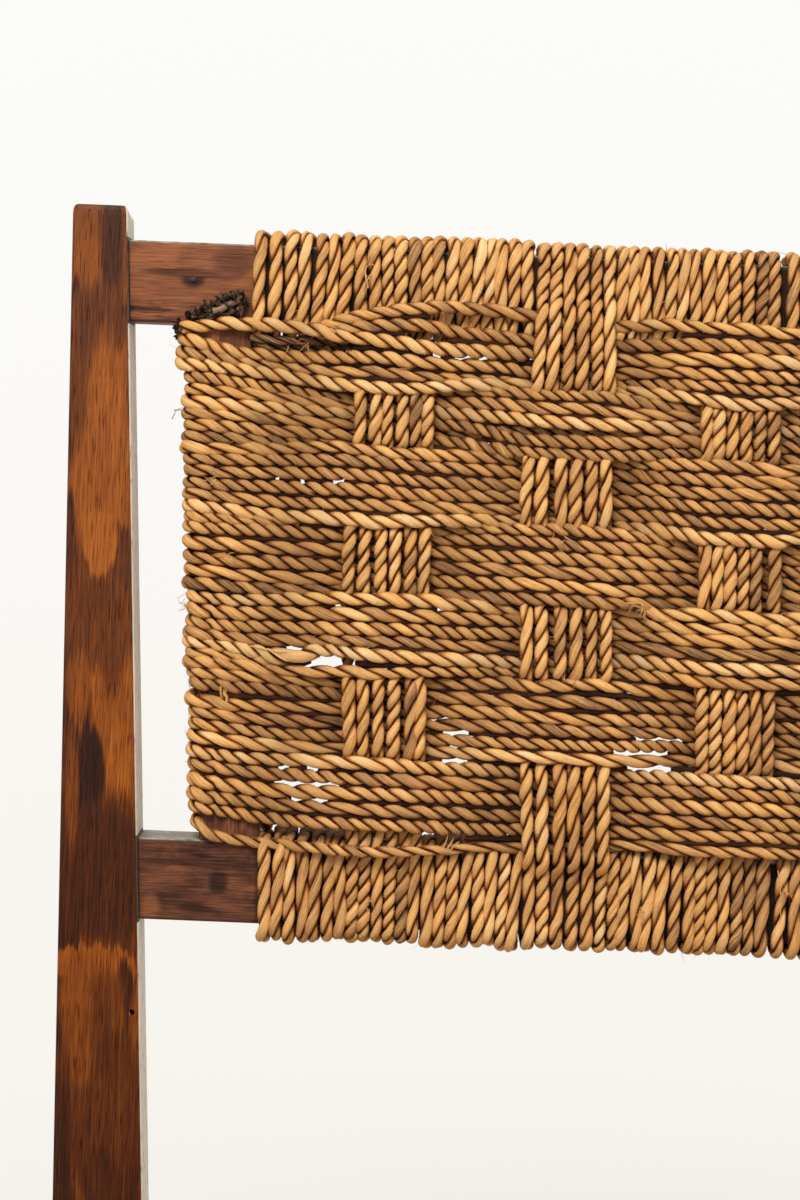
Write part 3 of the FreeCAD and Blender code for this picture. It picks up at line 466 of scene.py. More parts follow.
BACK = Panel(name="back", matrix=BACK_MATRIX, front=-12.0, rear=14.0, high=403.0, low=189.6, rail=34.0,
             outer_high=231.2, outer_low=219.3, fineness=(1.25, 10), rails=("top", "bottom"))
SEAT = Panel(name="seat", matrix=SEAT_MATRIX, front=0.0, rear=34.0, high=-13.0, low=-442.0, rail=26.0,
             outer_high=208.8, outer_low=211.1, fineness=(2.2, 8), rails=("rear", "front"))

HOOKED, TUCKED = True, False
# Weft cords of the back, band by band: tone, lift, thickness, whether its left end turns round the bar,
# and the pixels that it passes, from its left or, for a short end, from its right
BACK_WEFTS = [
    [(0.6, 1.9, 1.0, TUCKED,
      [318, 330, 340, 321, 378, 313, 416, 308, 445, 307, 480, 310, 510, 313, 537, 317, 617, 327, 640, 327,
       667, 325, 694, 327, 721, 329, 747, 330, 774, 333, 800, 335]),
     (0.45, 1.3, 1.0, TUCKED,
      [318, 334, 345, 329, 375, 326, 426, 326, 455, 332, 493, 336, 535, 342, 620, 346, 654, 345, 721, 345,
       774, 349, 800, 352]),
     (0.85, 1.9, 1.05, HOOKED,
      [187, 328, 228, 324, 277, 326, 320, 331, 340, 336, 378, 340, 416, 346, 436, 349, 480, 352, 535, 355,
       620, 360, 654, 361, 680, 359, 721, 360, 774, 362, 800, 363]),
     (0.55, 0.6, 1.0, HOOKED,
      [187, 338, 228, 350, 277, 356, 340, 357, 378, 357, 416, 361, 455, 365, 493, 366, 531, 372, 620, 374,
       654, 372, 694, 373, 747, 376, 800, 378]),
     (0.45, -0.4, 0.95, HOOKED,
      [187, 352, 228, 359, 277, 365, 340, 372, 378, 372, 416, 376, 503, 381, 531, 384, 620, 385, 694, 385,
       721, 386, 747, 390, 774, 391, 800, 392]),
     (0.85, 0.8, 1.0, HOOKED,
      [187, 363, 228, 368, 277, 375, 340, 385, 378, 388, 407, 389, 436, 387, 474, 385, 497, 385, 560, 388,
       640, 393, 667, 395, 694, 398, 721, 402, 747, 405, 774, 404, 800, 403])],
    [(0.4, 0.0, 0.95, HOOKED,
      [187, 376, 228, 381, 277, 388, 340, 397, 390, 394, 447, 390, 503, 391, 531, 394, 570, 396, 608, 397,
       640, 403, 654, 405, 680, 408, 694, 410]),
     (0.5, 0.0, 1.0, HOOKED,
      [187, 388, 228, 392, 277, 398, 340, 404, 436, 403, 474, 403, 512, 405, 550, 409, 589, 409, 627, 414,
       680, 416, 694, 417]),
     (0.8, 1.0, 1.08, HOOKED,
      [187, 401, 228, 405, 277, 408, 340, 412, 436, 412, 474, 415, 512, 418, 550, 422, 589, 424, 627, 426,
       694, 429]),
     (0.45, 0.0, 1.0, HOOKED,
      [187, 413, 228, 415, 277, 419, 340, 423, 436, 424, 474, 428, 522, 439, 570, 441, 627, 443, 694, 442]),
     (0.3, -2.0, 0.95, HOOKED,
      [187, 436, 228, 438, 277, 441, 340, 443, 430, 437, 512, 430, 570, 432, 627, 434, 694, 435]),
     (0.5, 0.0, 1.0, HOOKED,
      [187, 424, 228, 427, 277, 431, 340, 435, 459, 443, 493, 449, 531, 453, 570, 454, 608, 456, 640, 456,
       694, 454])],
    [(0.6, 0.2, 1.0, HOOKED,
      [187, 447, 228, 449, 277, 449, 340, 447, 378, 451, 416, 454, 455, 456, 493, 458, 522, 460, 617, 463,
       654, 464, 694, 465, 747, 467, 774, 471, 800, 470]),
     (0.45, 0.0, 1.0, HOOKED,
      [187, 458, 228, 460, 277, 460, 340, 460, 378, 462, 416, 466, 455, 468, 512, 472, 613, 475, 654, 477,
       694, 479, 734, 482, 774, 483, 800, 484]),
     (0.35, 0.0, 1.0, HOOKED,
      [187, 469, 228, 472, 277, 472, 340, 474, 378, 477, 416, 481, 512, 485, 614, 488, 656, 490, 698, 493,
       740, 494, 782, 495, 800, 496]),
     (0.5, 0.2, 1.0, HOOKED,
      [187, 482, 228, 485, 277, 487, 340, 489, 378, 491, 416, 495, 455, 495, 512, 497, 614, 501, 656, 502,
       698, 507, 740, 508, 782, 511, 800, 511]),
     (0.45, 0.0, 1.0, HOOKED,
      [187, 493, 228, 497, 277, 501, 340, 504, 378, 506, 416, 507, 493, 510, 522, 510, 614, 516, 656, 517,
       698, 522, 740, 524, 782, 525, 800, 525]),
     (0.85, 0.8, 1.04, HOOKED,
      [187, 505, 228, 510, 277, 515, 340, 518, 378, 522, 416, 521, 493, 521, 524, 521, 628, 528, 656, 530,
       684, 535, 712, 539, 740, 539, 768, 542, 800, 539]),
     (0.5, -0.8, 0.95, HOOKED,
      [300, 522, 262, 521, 228, 519, 200, 517, 187, 516])],
    [(0.5, 0.0, 1.0, HOOKED,
      [187, 526, 228, 529, 277, 531, 340, 533, 434, 530, 455, 529, 493, 528, 531, 530, 570, 530, 608, 534,
       640, 537, 656, 540, 694, 545]),
     (0.45, 0.0, 0.98, TUCKED,
      [365, 541, 434, 540, 474, 540, 512, 541, 550, 543, 589, 547, 627, 549, 684, 554, 694, 555]),
     (0.55, 0.0, 1.0, HOOKED,
      [187, 541, 228, 544, 277, 548, 340, 550, 434, 552, 474, 555, 550, 558, 589, 560, 627, 562, 656, 564,
       694, 567]),
     (0.5, 0.0, 1.0, HOOKED,
      [187, 556, 228, 560, 277, 562, 340, 565, 434, 568, 474, 568, 512, 570, 550, 572, 589, 574, 627, 576,
       656, 578, 694, 580]),
     (0.6, 0.0, 1.0, HOOKED,
      [187, 569, 228, 573, 277, 577, 340, 579, 434, 581, 474, 583, 550, 585, 589, 589, 627, 591, 656, 590,
       691, 592]),
     (0.32, 0.0, 0.98, HOOKED,
      [187, 582, 228, 586, 277, 589, 340, 590, 436, 595, 474, 597, 512, 599, 550, 600, 589, 602, 617, 604,
       656, 605, 691, 605])],
    [(0.85, 0.6, 1.03, HOOKED,
      [187, 595, 228, 600, 277, 599, 340, 598, 378, 599, 416, 601, 455, 604, 493, 608, 530, 611, 600, 612,
       649, 613, 663, 615, 698, 615, 740, 617, 782, 620, 800, 620]),
     (0.65, 0.4, 1.1, HOOKED,
      [187, 608, 228, 613, 277, 613, 340, 614, 416, 616, 455, 618, 512, 620, 614, 623, 656, 626, 698, 629,
       740, 629, 782, 631, 800, 632]),
     (0.5, 0.0, 1.0, HOOKED,
      [187, 621, 228, 626, 277, 627, 340, 628, 416, 630, 455, 633, 512, 633, 614, 635, 656, 637, 698, 640,
       740, 641, 782, 643, 800, 643]),
     (0.3, -0.4, 0.98, HOOKED,
      [187, 632, 228, 637, 277, 640, 340, 641, 416, 643, 455, 646, 512, 646, 614, 647, 656, 649, 698, 653,
       740, 655, 782, 656, 800, 657]),
     (0.6, -1.5, 0.95, HOOKED,
      [290, 664, 262, 660, 228, 656, 200, 653, 187, 652]),
     (0.9, 1.2, 1.04, HOOKED,
      [187, 641, 228, 646, 258, 651, 290, 658, 320, 650, 360, 654, 416, 658, 455, 660, 512, 662, 614, 661,
       656, 663, 698, 668, 740, 669, 782, 670, 800, 671]),
     (0.55, 0.0, 1.0, HOOKED,
      [187, 661, 228, 664, 277, 670, 340, 671, 378, 673, 416, 672, 512, 672, 614, 674, 656, 676, 698, 680,
       740, 683, 782, 684, 800, 684])],
    [(0.5, 0.0, 1.0, HOOKED,
      [187, 671, 228, 675, 277, 679, 340, 682, 422, 682, 474, 684, 512, 683, 531, 687, 570, 685, 608, 686,
       640, 690, 674, 694, 694, 696]),
     (0.4, -0.3, 1.0, HOOKED,
      [187, 682, 228, 686, 277, 690, 340, 694, 422, 696, 455, 698, 493, 700, 531, 702, 589, 703, 627, 706,
       674, 708, 694, 709]),
     (0.55, 0.0, 1.0, HOOKED,
      [187, 699, 228, 704, 277, 706, 340, 708, 422, 712, 474, 712, 512, 714, 550, 718, 589, 720, 674, 722,
       694, 724]),
     (0.45, 0.0, 0.95, HOOKED,
      [187, 711, 228, 716, 277, 720, 340, 722, 422, 725, 474, 725, 512, 727, 550, 730, 589, 732, 674, 734,
       694, 736]),
     (0.5, 0.0, 0.92, HOOKED,
      [187, 723, 228, 728, 277, 733, 340, 736, 422, 739, 474, 741, 512, 743, 550, 744, 589, 746, 637, 746,
       674, 747, 694, 749]),
     (0.8, 0.6, 0.98, HOOKED,
      [187, 735, 228, 741, 277, 745, 340, 749, 422, 751, 474, 754, 512, 756, 550, 758, 589, 760, 627, 761,
       674, 761, 694, 762])],
    [(0.8, 0.4, 1.0, HOOKED,
      [187, 750, 228, 756, 277, 759, 340, 762, 378, 764, 416, 767, 455, 769, 493, 770, 518, 771, 611, 775,
       655, 777, 692, 779, 729, 781, 766, 782, 800, 785]),
     (0.5, 0.0, 1.0, HOOKED,
      [187, 764, 228, 769, 277, 774, 340, 778, 416, 781, 455, 783, 512, 785, 611, 789, 655, 791, 692, 792,
       729, 794, 766, 796, 800, 798]),
     (0.6, 0.5, 1.1, HOOKED,
      [187, 779, 228, 785, 277, 790, 340, 793, 416, 796, 512, 800, 611, 803, 655, 805, 692, 807, 766, 810,
       800, 812]),
     (0.45, 0.0, 1.0, HOOKED,
      [187, 793, 228, 799, 277, 804, 340, 808, 416, 812, 512, 816, 611, 818, 655, 820, 692, 822, 766, 825,
       800, 826]),
     (0.55, 0.0, 1.0, HOOKED,
      [187, 806, 228, 812, 277, 819, 340, 824, 416, 827, 512, 830, 611, 832, 655, 834, 692, 836, 766, 838,
       800, 840]),
     (0.5, 0.6, 0.88, HOOKED,
      [187, 822, 213, 835, 245, 841, 300, 846, 340, 850, 378, 852, 416, 851, 445, 850, 474, 847, 512, 848,
       611, 846, 655, 847, 692, 851, 729, 852, 766, 853, 800, 855])],
]

# Warp cords of the back that the picture shows: rows of heights in the picture, then the six cords' places
BACK_WARPS = [
    {235: (361, 375, 388, 401, 415, 428), 420: (360, 376, 388, 403, 416, 427),
     560: (349, 364, 381, 395, 410, 424), 717: (349, 363, 378, 394, 411, 419),
     890: (352, 364, 377, 390, 402, 414)},
    {235: (546, 559, 572, 585, 598, 611), 385: (537, 551, 567, 581, 596, 609),
     493: (526, 541, 560, 575, 591, 605), 643: (526, 541, 560, 575, 591, 605),
     800: (526, 541, 559, 573, 588, 602), 890: (529, 543, 558, 573, 588, 602)},
    {235: (711, 725, 738, 752, 765, 777), 435: (706, 718, 731, 745, 759, 773),
     578: (703, 716, 729, 742, 754, 773), 731: (700, 714, 728, 741, 754, 767),
     890: (701, 712, 725, 738, 750, 763)},
]
TOP_WRAPS = [(260, 276, 292, 305, 320, 333, 346), (440, 453, 466, 478, 491, 502, 515, 529),
             (623, 635, 647, 660, 672, 684, 697)]
BOTTOM_WRAPS = [(264, 277, 289, 303, 315, 328, 340), (427, 440, 452, 465, 478, 490, 503, 515),
                (613, 624, 636, 648, 661, 675, 689)]
# The heights in the picture at which the windings' places were read
TOP_WRAPS_HEIGHT, BOTTOM_WRAPS_HEIGHT = 270, 890
# How far the turns stand off their rails; those beside the middle column lie closer
TOP_WRAPS_SLACK, BOTTOM_WRAPS_SLACK = 1.5, 2.8
MIDDLE_TIGHTNESS = 0.35
# How far they hang into the opening: the first winding on the upper rail, and the others
FIRST_HANG, HANG = 2.0, -0.8
# The first windings to the right of the middle column, in millimetres from the middle
TOP_WRAPS_RIGHT = (17.5, 23.1, 28.5, 34.0, 39.6, 45.2, 51.0)
BOTTOM_WRAPS_RIGHT = (22.3, 28.0, 33.8, 39.4, 45.0)
# Where one sees through between two wefts: pixel and half width
SLITS = [(283, 761, 8), (312, 764, 8), (437, 353, 5), (465, 355, 12), (482, 357, 8), (295, 785, 22),
         (330, 786, 12), (302, 801, 14), (320, 805, 8), (615, 480, 8), (340, 484, 7), (278, 482, 4),
         (302, 482, 5), (342, 605, 10), (325, 635, 5), (445, 720, 16), (456, 734, 16), (455, 746, 14),
         (456, 760, 14), (443, 610, 8), (297, 648, 12), (600, 560, 8), (640, 615, 5), (660, 740, 26),
         (641, 753, 30), (650, 768, 24)]

COLUMN_PLACES = (-144.5, -69.1, -1.5, 69.1, 144.5)
COLUMN_HALF = 17.0
# From the panel's middle, a weft keeps the bars' depth from the first of these distances to the second
PANEL_EDGE, PANEL_END = 190.0, 260.0
# From a column's side, inward to where a weft has its level there, and outward to where it is halfway
COLUMN_INSIDE, COLUMN_OUTSIDE = 4.0, 9.0
BACK_PITCH = 5.5
# Places across the back, out of the picture, where its wefts are laid level
UNSEEN_PLACES = (75.0, 105.0, 140.0, 175.0, 205.0, 232.0)
# The weft cord whose plies have opened, by band and number, and where
LOOSE_STRAND = (4, 5)
LOOSE_PLACE = from_picture(290, 658, BACK.front - ROOM)[0]
HAIR_SHARE = 0.008
sprouts = []


def is_over(row, column):
    return (row + column) % 2 == 0


def weft_depth(panel, row, columns, x):
    """Where a weft cord of a band runs before the rails' front: over or under each column of warps."""
    spots = [(-PANEL_END, ROOM), (-PANEL_EDGE, ROOM)]
    for column, place in enumerate(columns):
        level = OVER if is_over(row, column) else UNDER
        between = (level + FREE) / 2
        wide, narrow = COLUMN_HALF + COLUMN_OUTSIDE, COLUMN_HALF - COLUMN_INSIDE
        spots += [(place - wide, between), (place - narrow, level), (place, level + 0.2),
                  (place + narrow, level), (place + wide, between)]
    spots += [(PANEL_EDGE, ROOM), (PANEL_END, ROOM)]
    return panel.front - smooth(*zip(*spots), x)


# How much painted shade darkens a weft under a warp, and over what width that ends at the panel's sides
UNDER_SHADE = 0.36
SHADE_FADE = 34.0


def standing(panel, x, y, reach):
    """How high a weft stands, from 0 under a warp to 1 over one, and how much of its colour painted shade
    leaves it.
    """
    height = np.clip((panel.front - y - UNDER) / (OVER - UNDER), 0, 1)
    return height, 1 - UNDER_SHADE * (1 - height) ** 1.5 * fade(x, reach, SHADE_FADE)


def read_weft(row, spots):
    """Points along a weft cord of the back from its pixels, each at the depth that the weave gives it."""
    pixels = np.reshape(spots, (-1, 2))
    across = np.array([from_picture(px, py, BACK.front - FREE)[0] for px, py in pixels])
    depths = weft_depth(BACK, row, COLUMN_PLACES, across)
    return np.array([from_picture(px, py, y) for (px, py), y in zip(pixels, depths)])


# The wefts of the back: their points, how far their unseen levels differ, and how far a lift brings one out
WEFT_POINTS = 240
UNSEEN_SPREAD = 0.7
LIFT_SCALE = 1.4
# The first band is loose over its whole width, the others where they cross over a warp
LOOSE_UNDER = 0.3
PROUD_REACH, PROUD_FADE = 225.0, 25.0
BACK_SHADE_REACH = 212.0
# How deep a tucked left end and a short end dive, and over what length
TUCK_DEPTH, TUCK_LENGTH = 4.5, 9.0
STUB_DEPTH, STUB_LENGTH = 3.0, 12.0
# How far a cord bulges at the left bar in the first band and in the others, and at the right bar
FIRST_BULGE, LEFT_BULGE, RIGHT_BULGE = (0.3, 2.1), (-2.2, 0.3), (-0.5, 1.3)
# From the middle of a band's outer cord to the band's edge
BAND_EDGE = 2.7


def weave_back():
    turns = BACK.hook_pieces()
    wefts, spans, lines = [], [], []
    for row, strands in enumerate(BACK_WEFTS):
        piece = BACK.piece(f"weft_cords_{row + 1}", f"weft_{row + 1}", "weft_cord")
        routes = [read_weft(row, spots) for *_, spots in strands]
        # A short end is listed from its right, the others from their left
        stubs = [route[-1, 0] < route[0, 0] for route in routes]
        seen_last = [route[-1, 2] for route, stub in zip(routes, stubs) if not stub]
        ranks = np.argsort(np.argsort(seen_last)[::-1])
        levels = iter(np.mean(seen_last) + ((len(seen_last) - 1) / 2 - ranks) * BACK_PITCH)
        level_at = []
        for number, (tone, lift, thick, hooked, _) in enumerate(strands):
            stub = stubs[number]
            route = routes[number][::-1] if stub else routes[number]
            xs, zs = list(route[:, 0]), list(route[:, 2])
            if not stub:
                level = next(levels)
                xs += UNSEEN_PLACES
                zs += [level + random.uniform(-UNSEEN_SPREAD, UNSEEN_SPREAD) for _ in UNSEEN_PLACES]
            left_end = HOOK_START - BACK.outer(zs[0]) if hooked else xs[0]
            right_end = xs[-1] if stub else BACK.outer(zs[-1]) - HOOK_START
            x = np.linspace(left_end, right_end, WEFT_POINTS)
            z = smooth(xs, zs, x)
            y = weft_depth(BACK, row, COLUMN_PLACES, x)
            proud = lift * LIFT_SCALE + random.uniform(-0.6, 0.5) + 0.4 * wave(x, 70.0)
            # Painted shade: a weft is darker where it dips under a warp
            height, shade = standing(BACK, x, y, BACK_SHADE_REACH)
            loose = 1.0 if row == 0 else LOOSE_UNDER + (1 - LOOSE_UNDER) * height
            y -= proud * fade(x, PROUD_REACH, PROUD_FADE) * loose
            if not hooked:
                y += TUCK_DEPTH * np.clip(1 - (x - x[0]) / TUCK_LENGTH, 0, 1)
            if stub:
                y += STUB_DEPTH * np.clip(1 - (x[-1] - x) / STUB_LENGTH, 0, 1)
            y += 0.25 * wave(x, 28.0)
            z += 0.2 * wave(x, 22.0)
            front = np.stack([x, y, z], axis=1)
            lines.append((piece, front))
            segments, owners = [front], [piece]
            if hooked:
                bulge = random.uniform(*(FIRST_BULGE if row == 0 else LEFT_BULGE))
                segments.insert(0, BACK.weft_hook(-1, z[0], zs[0], bulge)[::-1])
                owners.insert(0, turns[-1])
            if not stub:
                level_at.append(np.interp(COLUMN_PLACES, x, z))
                segments.append(BACK.weft_hook(1, z[-1], zs[-1], random.uniform(*RIGHT_BULGE)))
                owners.append(turns[1])
            cord = lay(segments, owners, ALONG, BACK.fineness, radius=CORD_RADIUS * thick, tone=tone,
                       open_near=LOOSE_PLACE if (row, number) == LOOSE_STRAND else None, shade=(x, shade))
            sprouts.extend(cord.sprout(HAIR_SHARE))
        wefts.append(piece)
        spans.append((np.max(level_at, axis=0) + BAND_EDGE, np.min(level_at, axis=0) - BAND_EDGE))
    for above, below in zip(spans, spans[1:]):
        meeting = (above[1] + below[0]) / 2
        above[1][:], below[0][:] = meeting, meeting
    shade_crevices(lines, BACK, SLITS)
    bands = [[(upper[column], lower[column]) for upper, lower in spans] for column in range(5)]
    return wefts, turns, bands


# The distances between two wefts' middles at which a groove gets a dark tube of painted shade, and the
# tube's size
CREVICE_SHADE_GAP = (3.4, 7.8)
CREVICE_SHADE_REACH, CREVICE_SHADE_STEP = 222.0, 1.5
CREVICE_SHADE_DEPTH = 0.9
CREVICE_SHADE_SHARE, CREVICE_SHADE_RADII = 0.26, (0.8, 1.7)
SLIT_HEIGHT = 3.0


def shade_crevices(lines, panel, slits=()):
    """Flattened dark tubes of painted shade in the grooves between neighbouring wefts, left out where one
    sees through.
    """
    x = np.arange(-CREVICE_SHADE_REACH, CREVICE_SHADE_REACH + 0.1, CREVICE_SHADE_STEP)
    depths, levels = (
        np.array([np.interp(x, front[:, 0], front[:, axis], np.nan, np.nan) for _, front in lines])
        for axis in (1, 2))
    order = np.argsort(np.where(np.isnan(levels), -1e9, levels), axis=0)[::-1]
    levels = np.take_along_axis(levels, order, 0)
    depths = np.take_along_axis(depths, order, 0)
    openings = [(from_picture(px, py, panel.front - FREE)[[0, 2]], half) for px, py, half in slits]
    pairs = {}
    for upper in range(len(lines) - 1):
        gap = levels[upper] - levels[upper + 1]
        y = (depths[upper] + depths[upper + 1]) / 2 + CREVICE_SHADE_DEPTH
        z = (levels[upper] + levels[upper + 1]) / 2
        held = (gap > CREVICE_SHADE_GAP[0]) & (gap < CREVICE_SHADE_GAP[1])
        for (at_x, at_z), half in openings:
            held &= ~((np.abs(x - at_x) < half * PIXEL_SIZE) & (np.abs(z - at_z) < SLIT_HEIGHT))
        for spot in np.flatnonzero(held):
            pair = (order[upper, spot], order[upper + 1, spot])
            pairs.setdefault(pair, []).append((x[spot], y[spot], z[spot], gap[spot]))
    for (above, _), spots in pairs.items():
        spots = np.array(sorted(spots))
        for run in np.split(spots, np.flatnonzero(np.diff(spots[:, 0]) > CREVICE_SHADE_STEP + 0.1) + 1):
            if len(run) > 2:
                line = run[:, :3]
                line = np.concatenate([[2 * line[0] - line[1]], line, [2 * line[-1] - line[-2]]])
                radii = np.clip(np.pad(run[:, 3], 1, "edge") * CREVICE_SHADE_SHARE, *CREVICE_SHADE_RADII)
                lines[above][0].take(CreviceShade(line, radii))


def warp_depth(panel, bands, column, z):
    """Where a warp cord of a column runs before the rails' front: over or under each band of wefts."""
    top, bottom = panel.high + 6, panel.low - 6
    first, last = bands[0][0], bands[-1][1]
    spots = [(top + 40, ROOM)]
    spots += [(top, ROOM)] if is_over(0, column) else [(first + 8, ROOM), (first + 1, OVER - 0.6)]
    for row, (upper, lower) in enumerate(bands):
        level, edge = (UNDER, UNDER + 0.4) if is_over(row, column) else (OVER, OVER - 0.8)
        spots += [(upper - 1.9, edge), ((upper + lower) / 2, level), (lower + 1.9, edge)]
    ends_over = is_over(len(bands) - 1, column)
    spots += [(bottom, ROOM)] if ends_over else [(last - 1, OVER - 0.6), (last - 8, ROOM)]
    spots.append((bottom - 40, ROOM))
    stations, depths = np.array(spots[::-1]).T
    keep = np.concatenate([[True], np.diff(stations) > 0.5])
    return panel.front - smooth(stations[keep], depths[keep], z)


WARP_POINTS = 220
# How far a warp cord stands off the upper rail, and one of each column off the lower rail
TOP_SLACK = 0.7
WARP_SLACK = (1.6, 1.6, 0.3, 1.6, 1.6)
# The length at either end of the panel over which a cord's own lift grows
LIFT_FADE = 20.0


def warp_strand(panel, xs_at, zs_at, bands, column, pieces, tone, thick, lift):
    """One warp cord: round the upper rail from behind, down the panel, and round the lower rail."""
    over = panel.rail_loop(True, random.uniform(0, TOP_SLACK))
    under = panel.rail_loop(False, random.uniform(0, WARP_SLACK[column]))
    reach = RAIL_CORNER + 2.0
    top = panel.high + panel.rail - reach
    bottom = panel.low - panel.rail + reach
    z = np.linspace(top, bottom, WARP_POINTS)
    y = warp_depth(panel, bands, column, z)
    y -= lift * np.clip((top - z) / LIFT_FADE, 0, 1) * np.clip((z - bottom) / LIFT_FADE, 0, 1)
    y += 0.2 * wave(-z, 20.0)
    x = smooth(zs_at[::-1], xs_at[::-1], z) + 0.2 * wave(-z, 24.0)
    head = over[np.argmax((over[:, 0] < panel.front - 1) & (over[:, 1] > top)):][::-1]
    tail = under[np.argmax((under[:, 0] < panel.front - 1) & (under[:, 1] < bottom)):]
    segments = [np.column_stack([np.full(len(head), x[0]), head]), np.stack([x, y, z], axis=1),
                np.column_stack([np.full(len(tail), x[-1]), tail])]
    return lay(segments, pieces, ACROSS, panel.fineness, radius=CORD_RADIUS * thick, tone=tone)


WINDING_LAY = 22.0
WINDING_THICK = 0.98
# The share of a turn in which it runs straight before it steps to the next, and how far it may lean there
STRAIGHT_SHARE = 0.45
LEAN = 1.1
# The step after a winding's last turn
LAST_STEP = 3.0


def winding(panel, at_high, places, piece, slack, hang=0.0):
    """Turns of cord round a rail between two columns, each at its own place across the panel."""
    places = sorted(places)
    loops = []
    for place, following in zip(places, [*places[1:], places[-1] + LAST_STEP]):
        loop = panel.rail_loop(at_high, random.uniform(0, slack), random.uniform(0, 0.8), hang)
        done = lengths(loop) / lengths(loop)[-1]
        share = np.clip((done - STRAIGHT_SHARE) / (1 - STRAIGHT_SHARE), 0, 1)
        share = share * share * (3 - 2 * share)
        lean = random.uniform(-LEAN, LEAN) * np.sin(np.clip(done / STRAIGHT_SHARE, 0, 1) * math.pi * 2)
        loops.append(np.column_stack([place + (following - place) * share + lean, loop]))
    line = np.concatenate([*(loop[:-1] for loop in loops[:-1]), loops[-1]])
    line[:, 0] += 0.4 * wave(lengths(line), 17.0)
    cord = Cord(line, ACROSS, panel.fineness, radius=CORD_RADIUS * WINDING_THICK,
                tone=random.uniform(0.56, 0.68), lay=WINDING_LAY)
    # Painted shade where a turn goes round into the opening between the rails
    inward = panel.high - cord.centre[:, 2] if at_high else cord.centre[:, 2] - panel.low
    cord.tone[..., 3] = 1 - 0.5 * np.clip((inward + 2.0) / 4, 0, 1)[None, :, None]
    drift = 0.2 * wave(cord.travelled, 60.0)
    cord.tone[..., 0] = np.clip(cord.tone[..., 0] + drift[None, :, None], 0, 1)
    piece.take(cord)
    return cord


def warp_back(bands):
    windings = BACK.wrap_pieces()
    warps = []
    for column in range(5):
        piece = BACK.piece(f"warp_cords_{column + 1}", f"warp_{column + 1}", "warp_cord")
        shown = BACK_WARPS[min(column, 4 - column)]
        for strand in range(6):
            points = [from_picture(row[strand], py, BACK.front - FREE) for py, row in shown.items()]
            xs = [point[0] for point in points]
            if column > 2:
                xs = [-x + random.uniform(-0.5, 0.5) for x in xs]
            xs = np.array([xs[0], *xs, xs[-1]])
            zs = np.array([460.0, *(point[2] for point in points), 120.0])
            owners = windings[True], piece, windings[False]
            cord = warp_strand(BACK, xs, zs, bands[column], column, owners, random.uniform(0.35, 0.75),
                               random.uniform(0.94, 1.04), random.uniform(-0.3, 0.5))
            sprouts.extend(cord.sprout(HAIR_SHARE))
        warps.append(piece)
    for at_high, groups, right, py, slack in (
            (True, TOP_WRAPS, TOP_WRAPS_RIGHT, TOP_WRAPS_HEIGHT, TOP_WRAPS_SLACK),
            (False, BOTTOM_WRAPS, BOTTOM_WRAPS_RIGHT, BOTTOM_WRAPS_HEIGHT, BOTTOM_WRAPS_SLACK)):
        shown = [[from_picture(px, py, BACK.front - ROOM)[0] for px in group] for group in groups]
        mirrored = [[-x + random.uniform(-0.4, 0.4) for x in group] for group in shown[:2]]
        for number, places in enumerate([*shown, right, *mirrored]):
            tightness = MIDDLE_TIGHTNESS if number in (2, 3) else 1.0
            hang = FIRST_HANG if at_high and number == 0 else HANG
            cord = winding(BACK, at_high, places, windings[at_high], slack * tightness, hang)
            sprouts.extend(cord.sprout(HAIR_SHARE))
    return warps, windings


# The seat is woven like the back, in narrower bands

SEAT_COLUMNS = (-129.2, -62.2, 0.0, 62.2, 129.2)
SEAT_BAND_COUNT = 13
SEAT_PITCH = 5.34
SEAT_WARP_PITCH = 5.6
SEAT_WARP_STATIONS = np.array([30.0, -60.0, -220.0, -380.0, -490.0])
SEAT_WRAP_PITCH = 5.35
# From the middle of a column and from the end of a group to the group's end and to its first turn
SEAT_COLUMN_EDGE, SEAT_WRAP_START = 16.9, 2.8
SEAT_WRAP_SLACK = 0.9
SEAT_POINTS = 200
SEAT_SHADE_REACH = 200.0
SEAT_BULGE = (-0.5, 1.0)


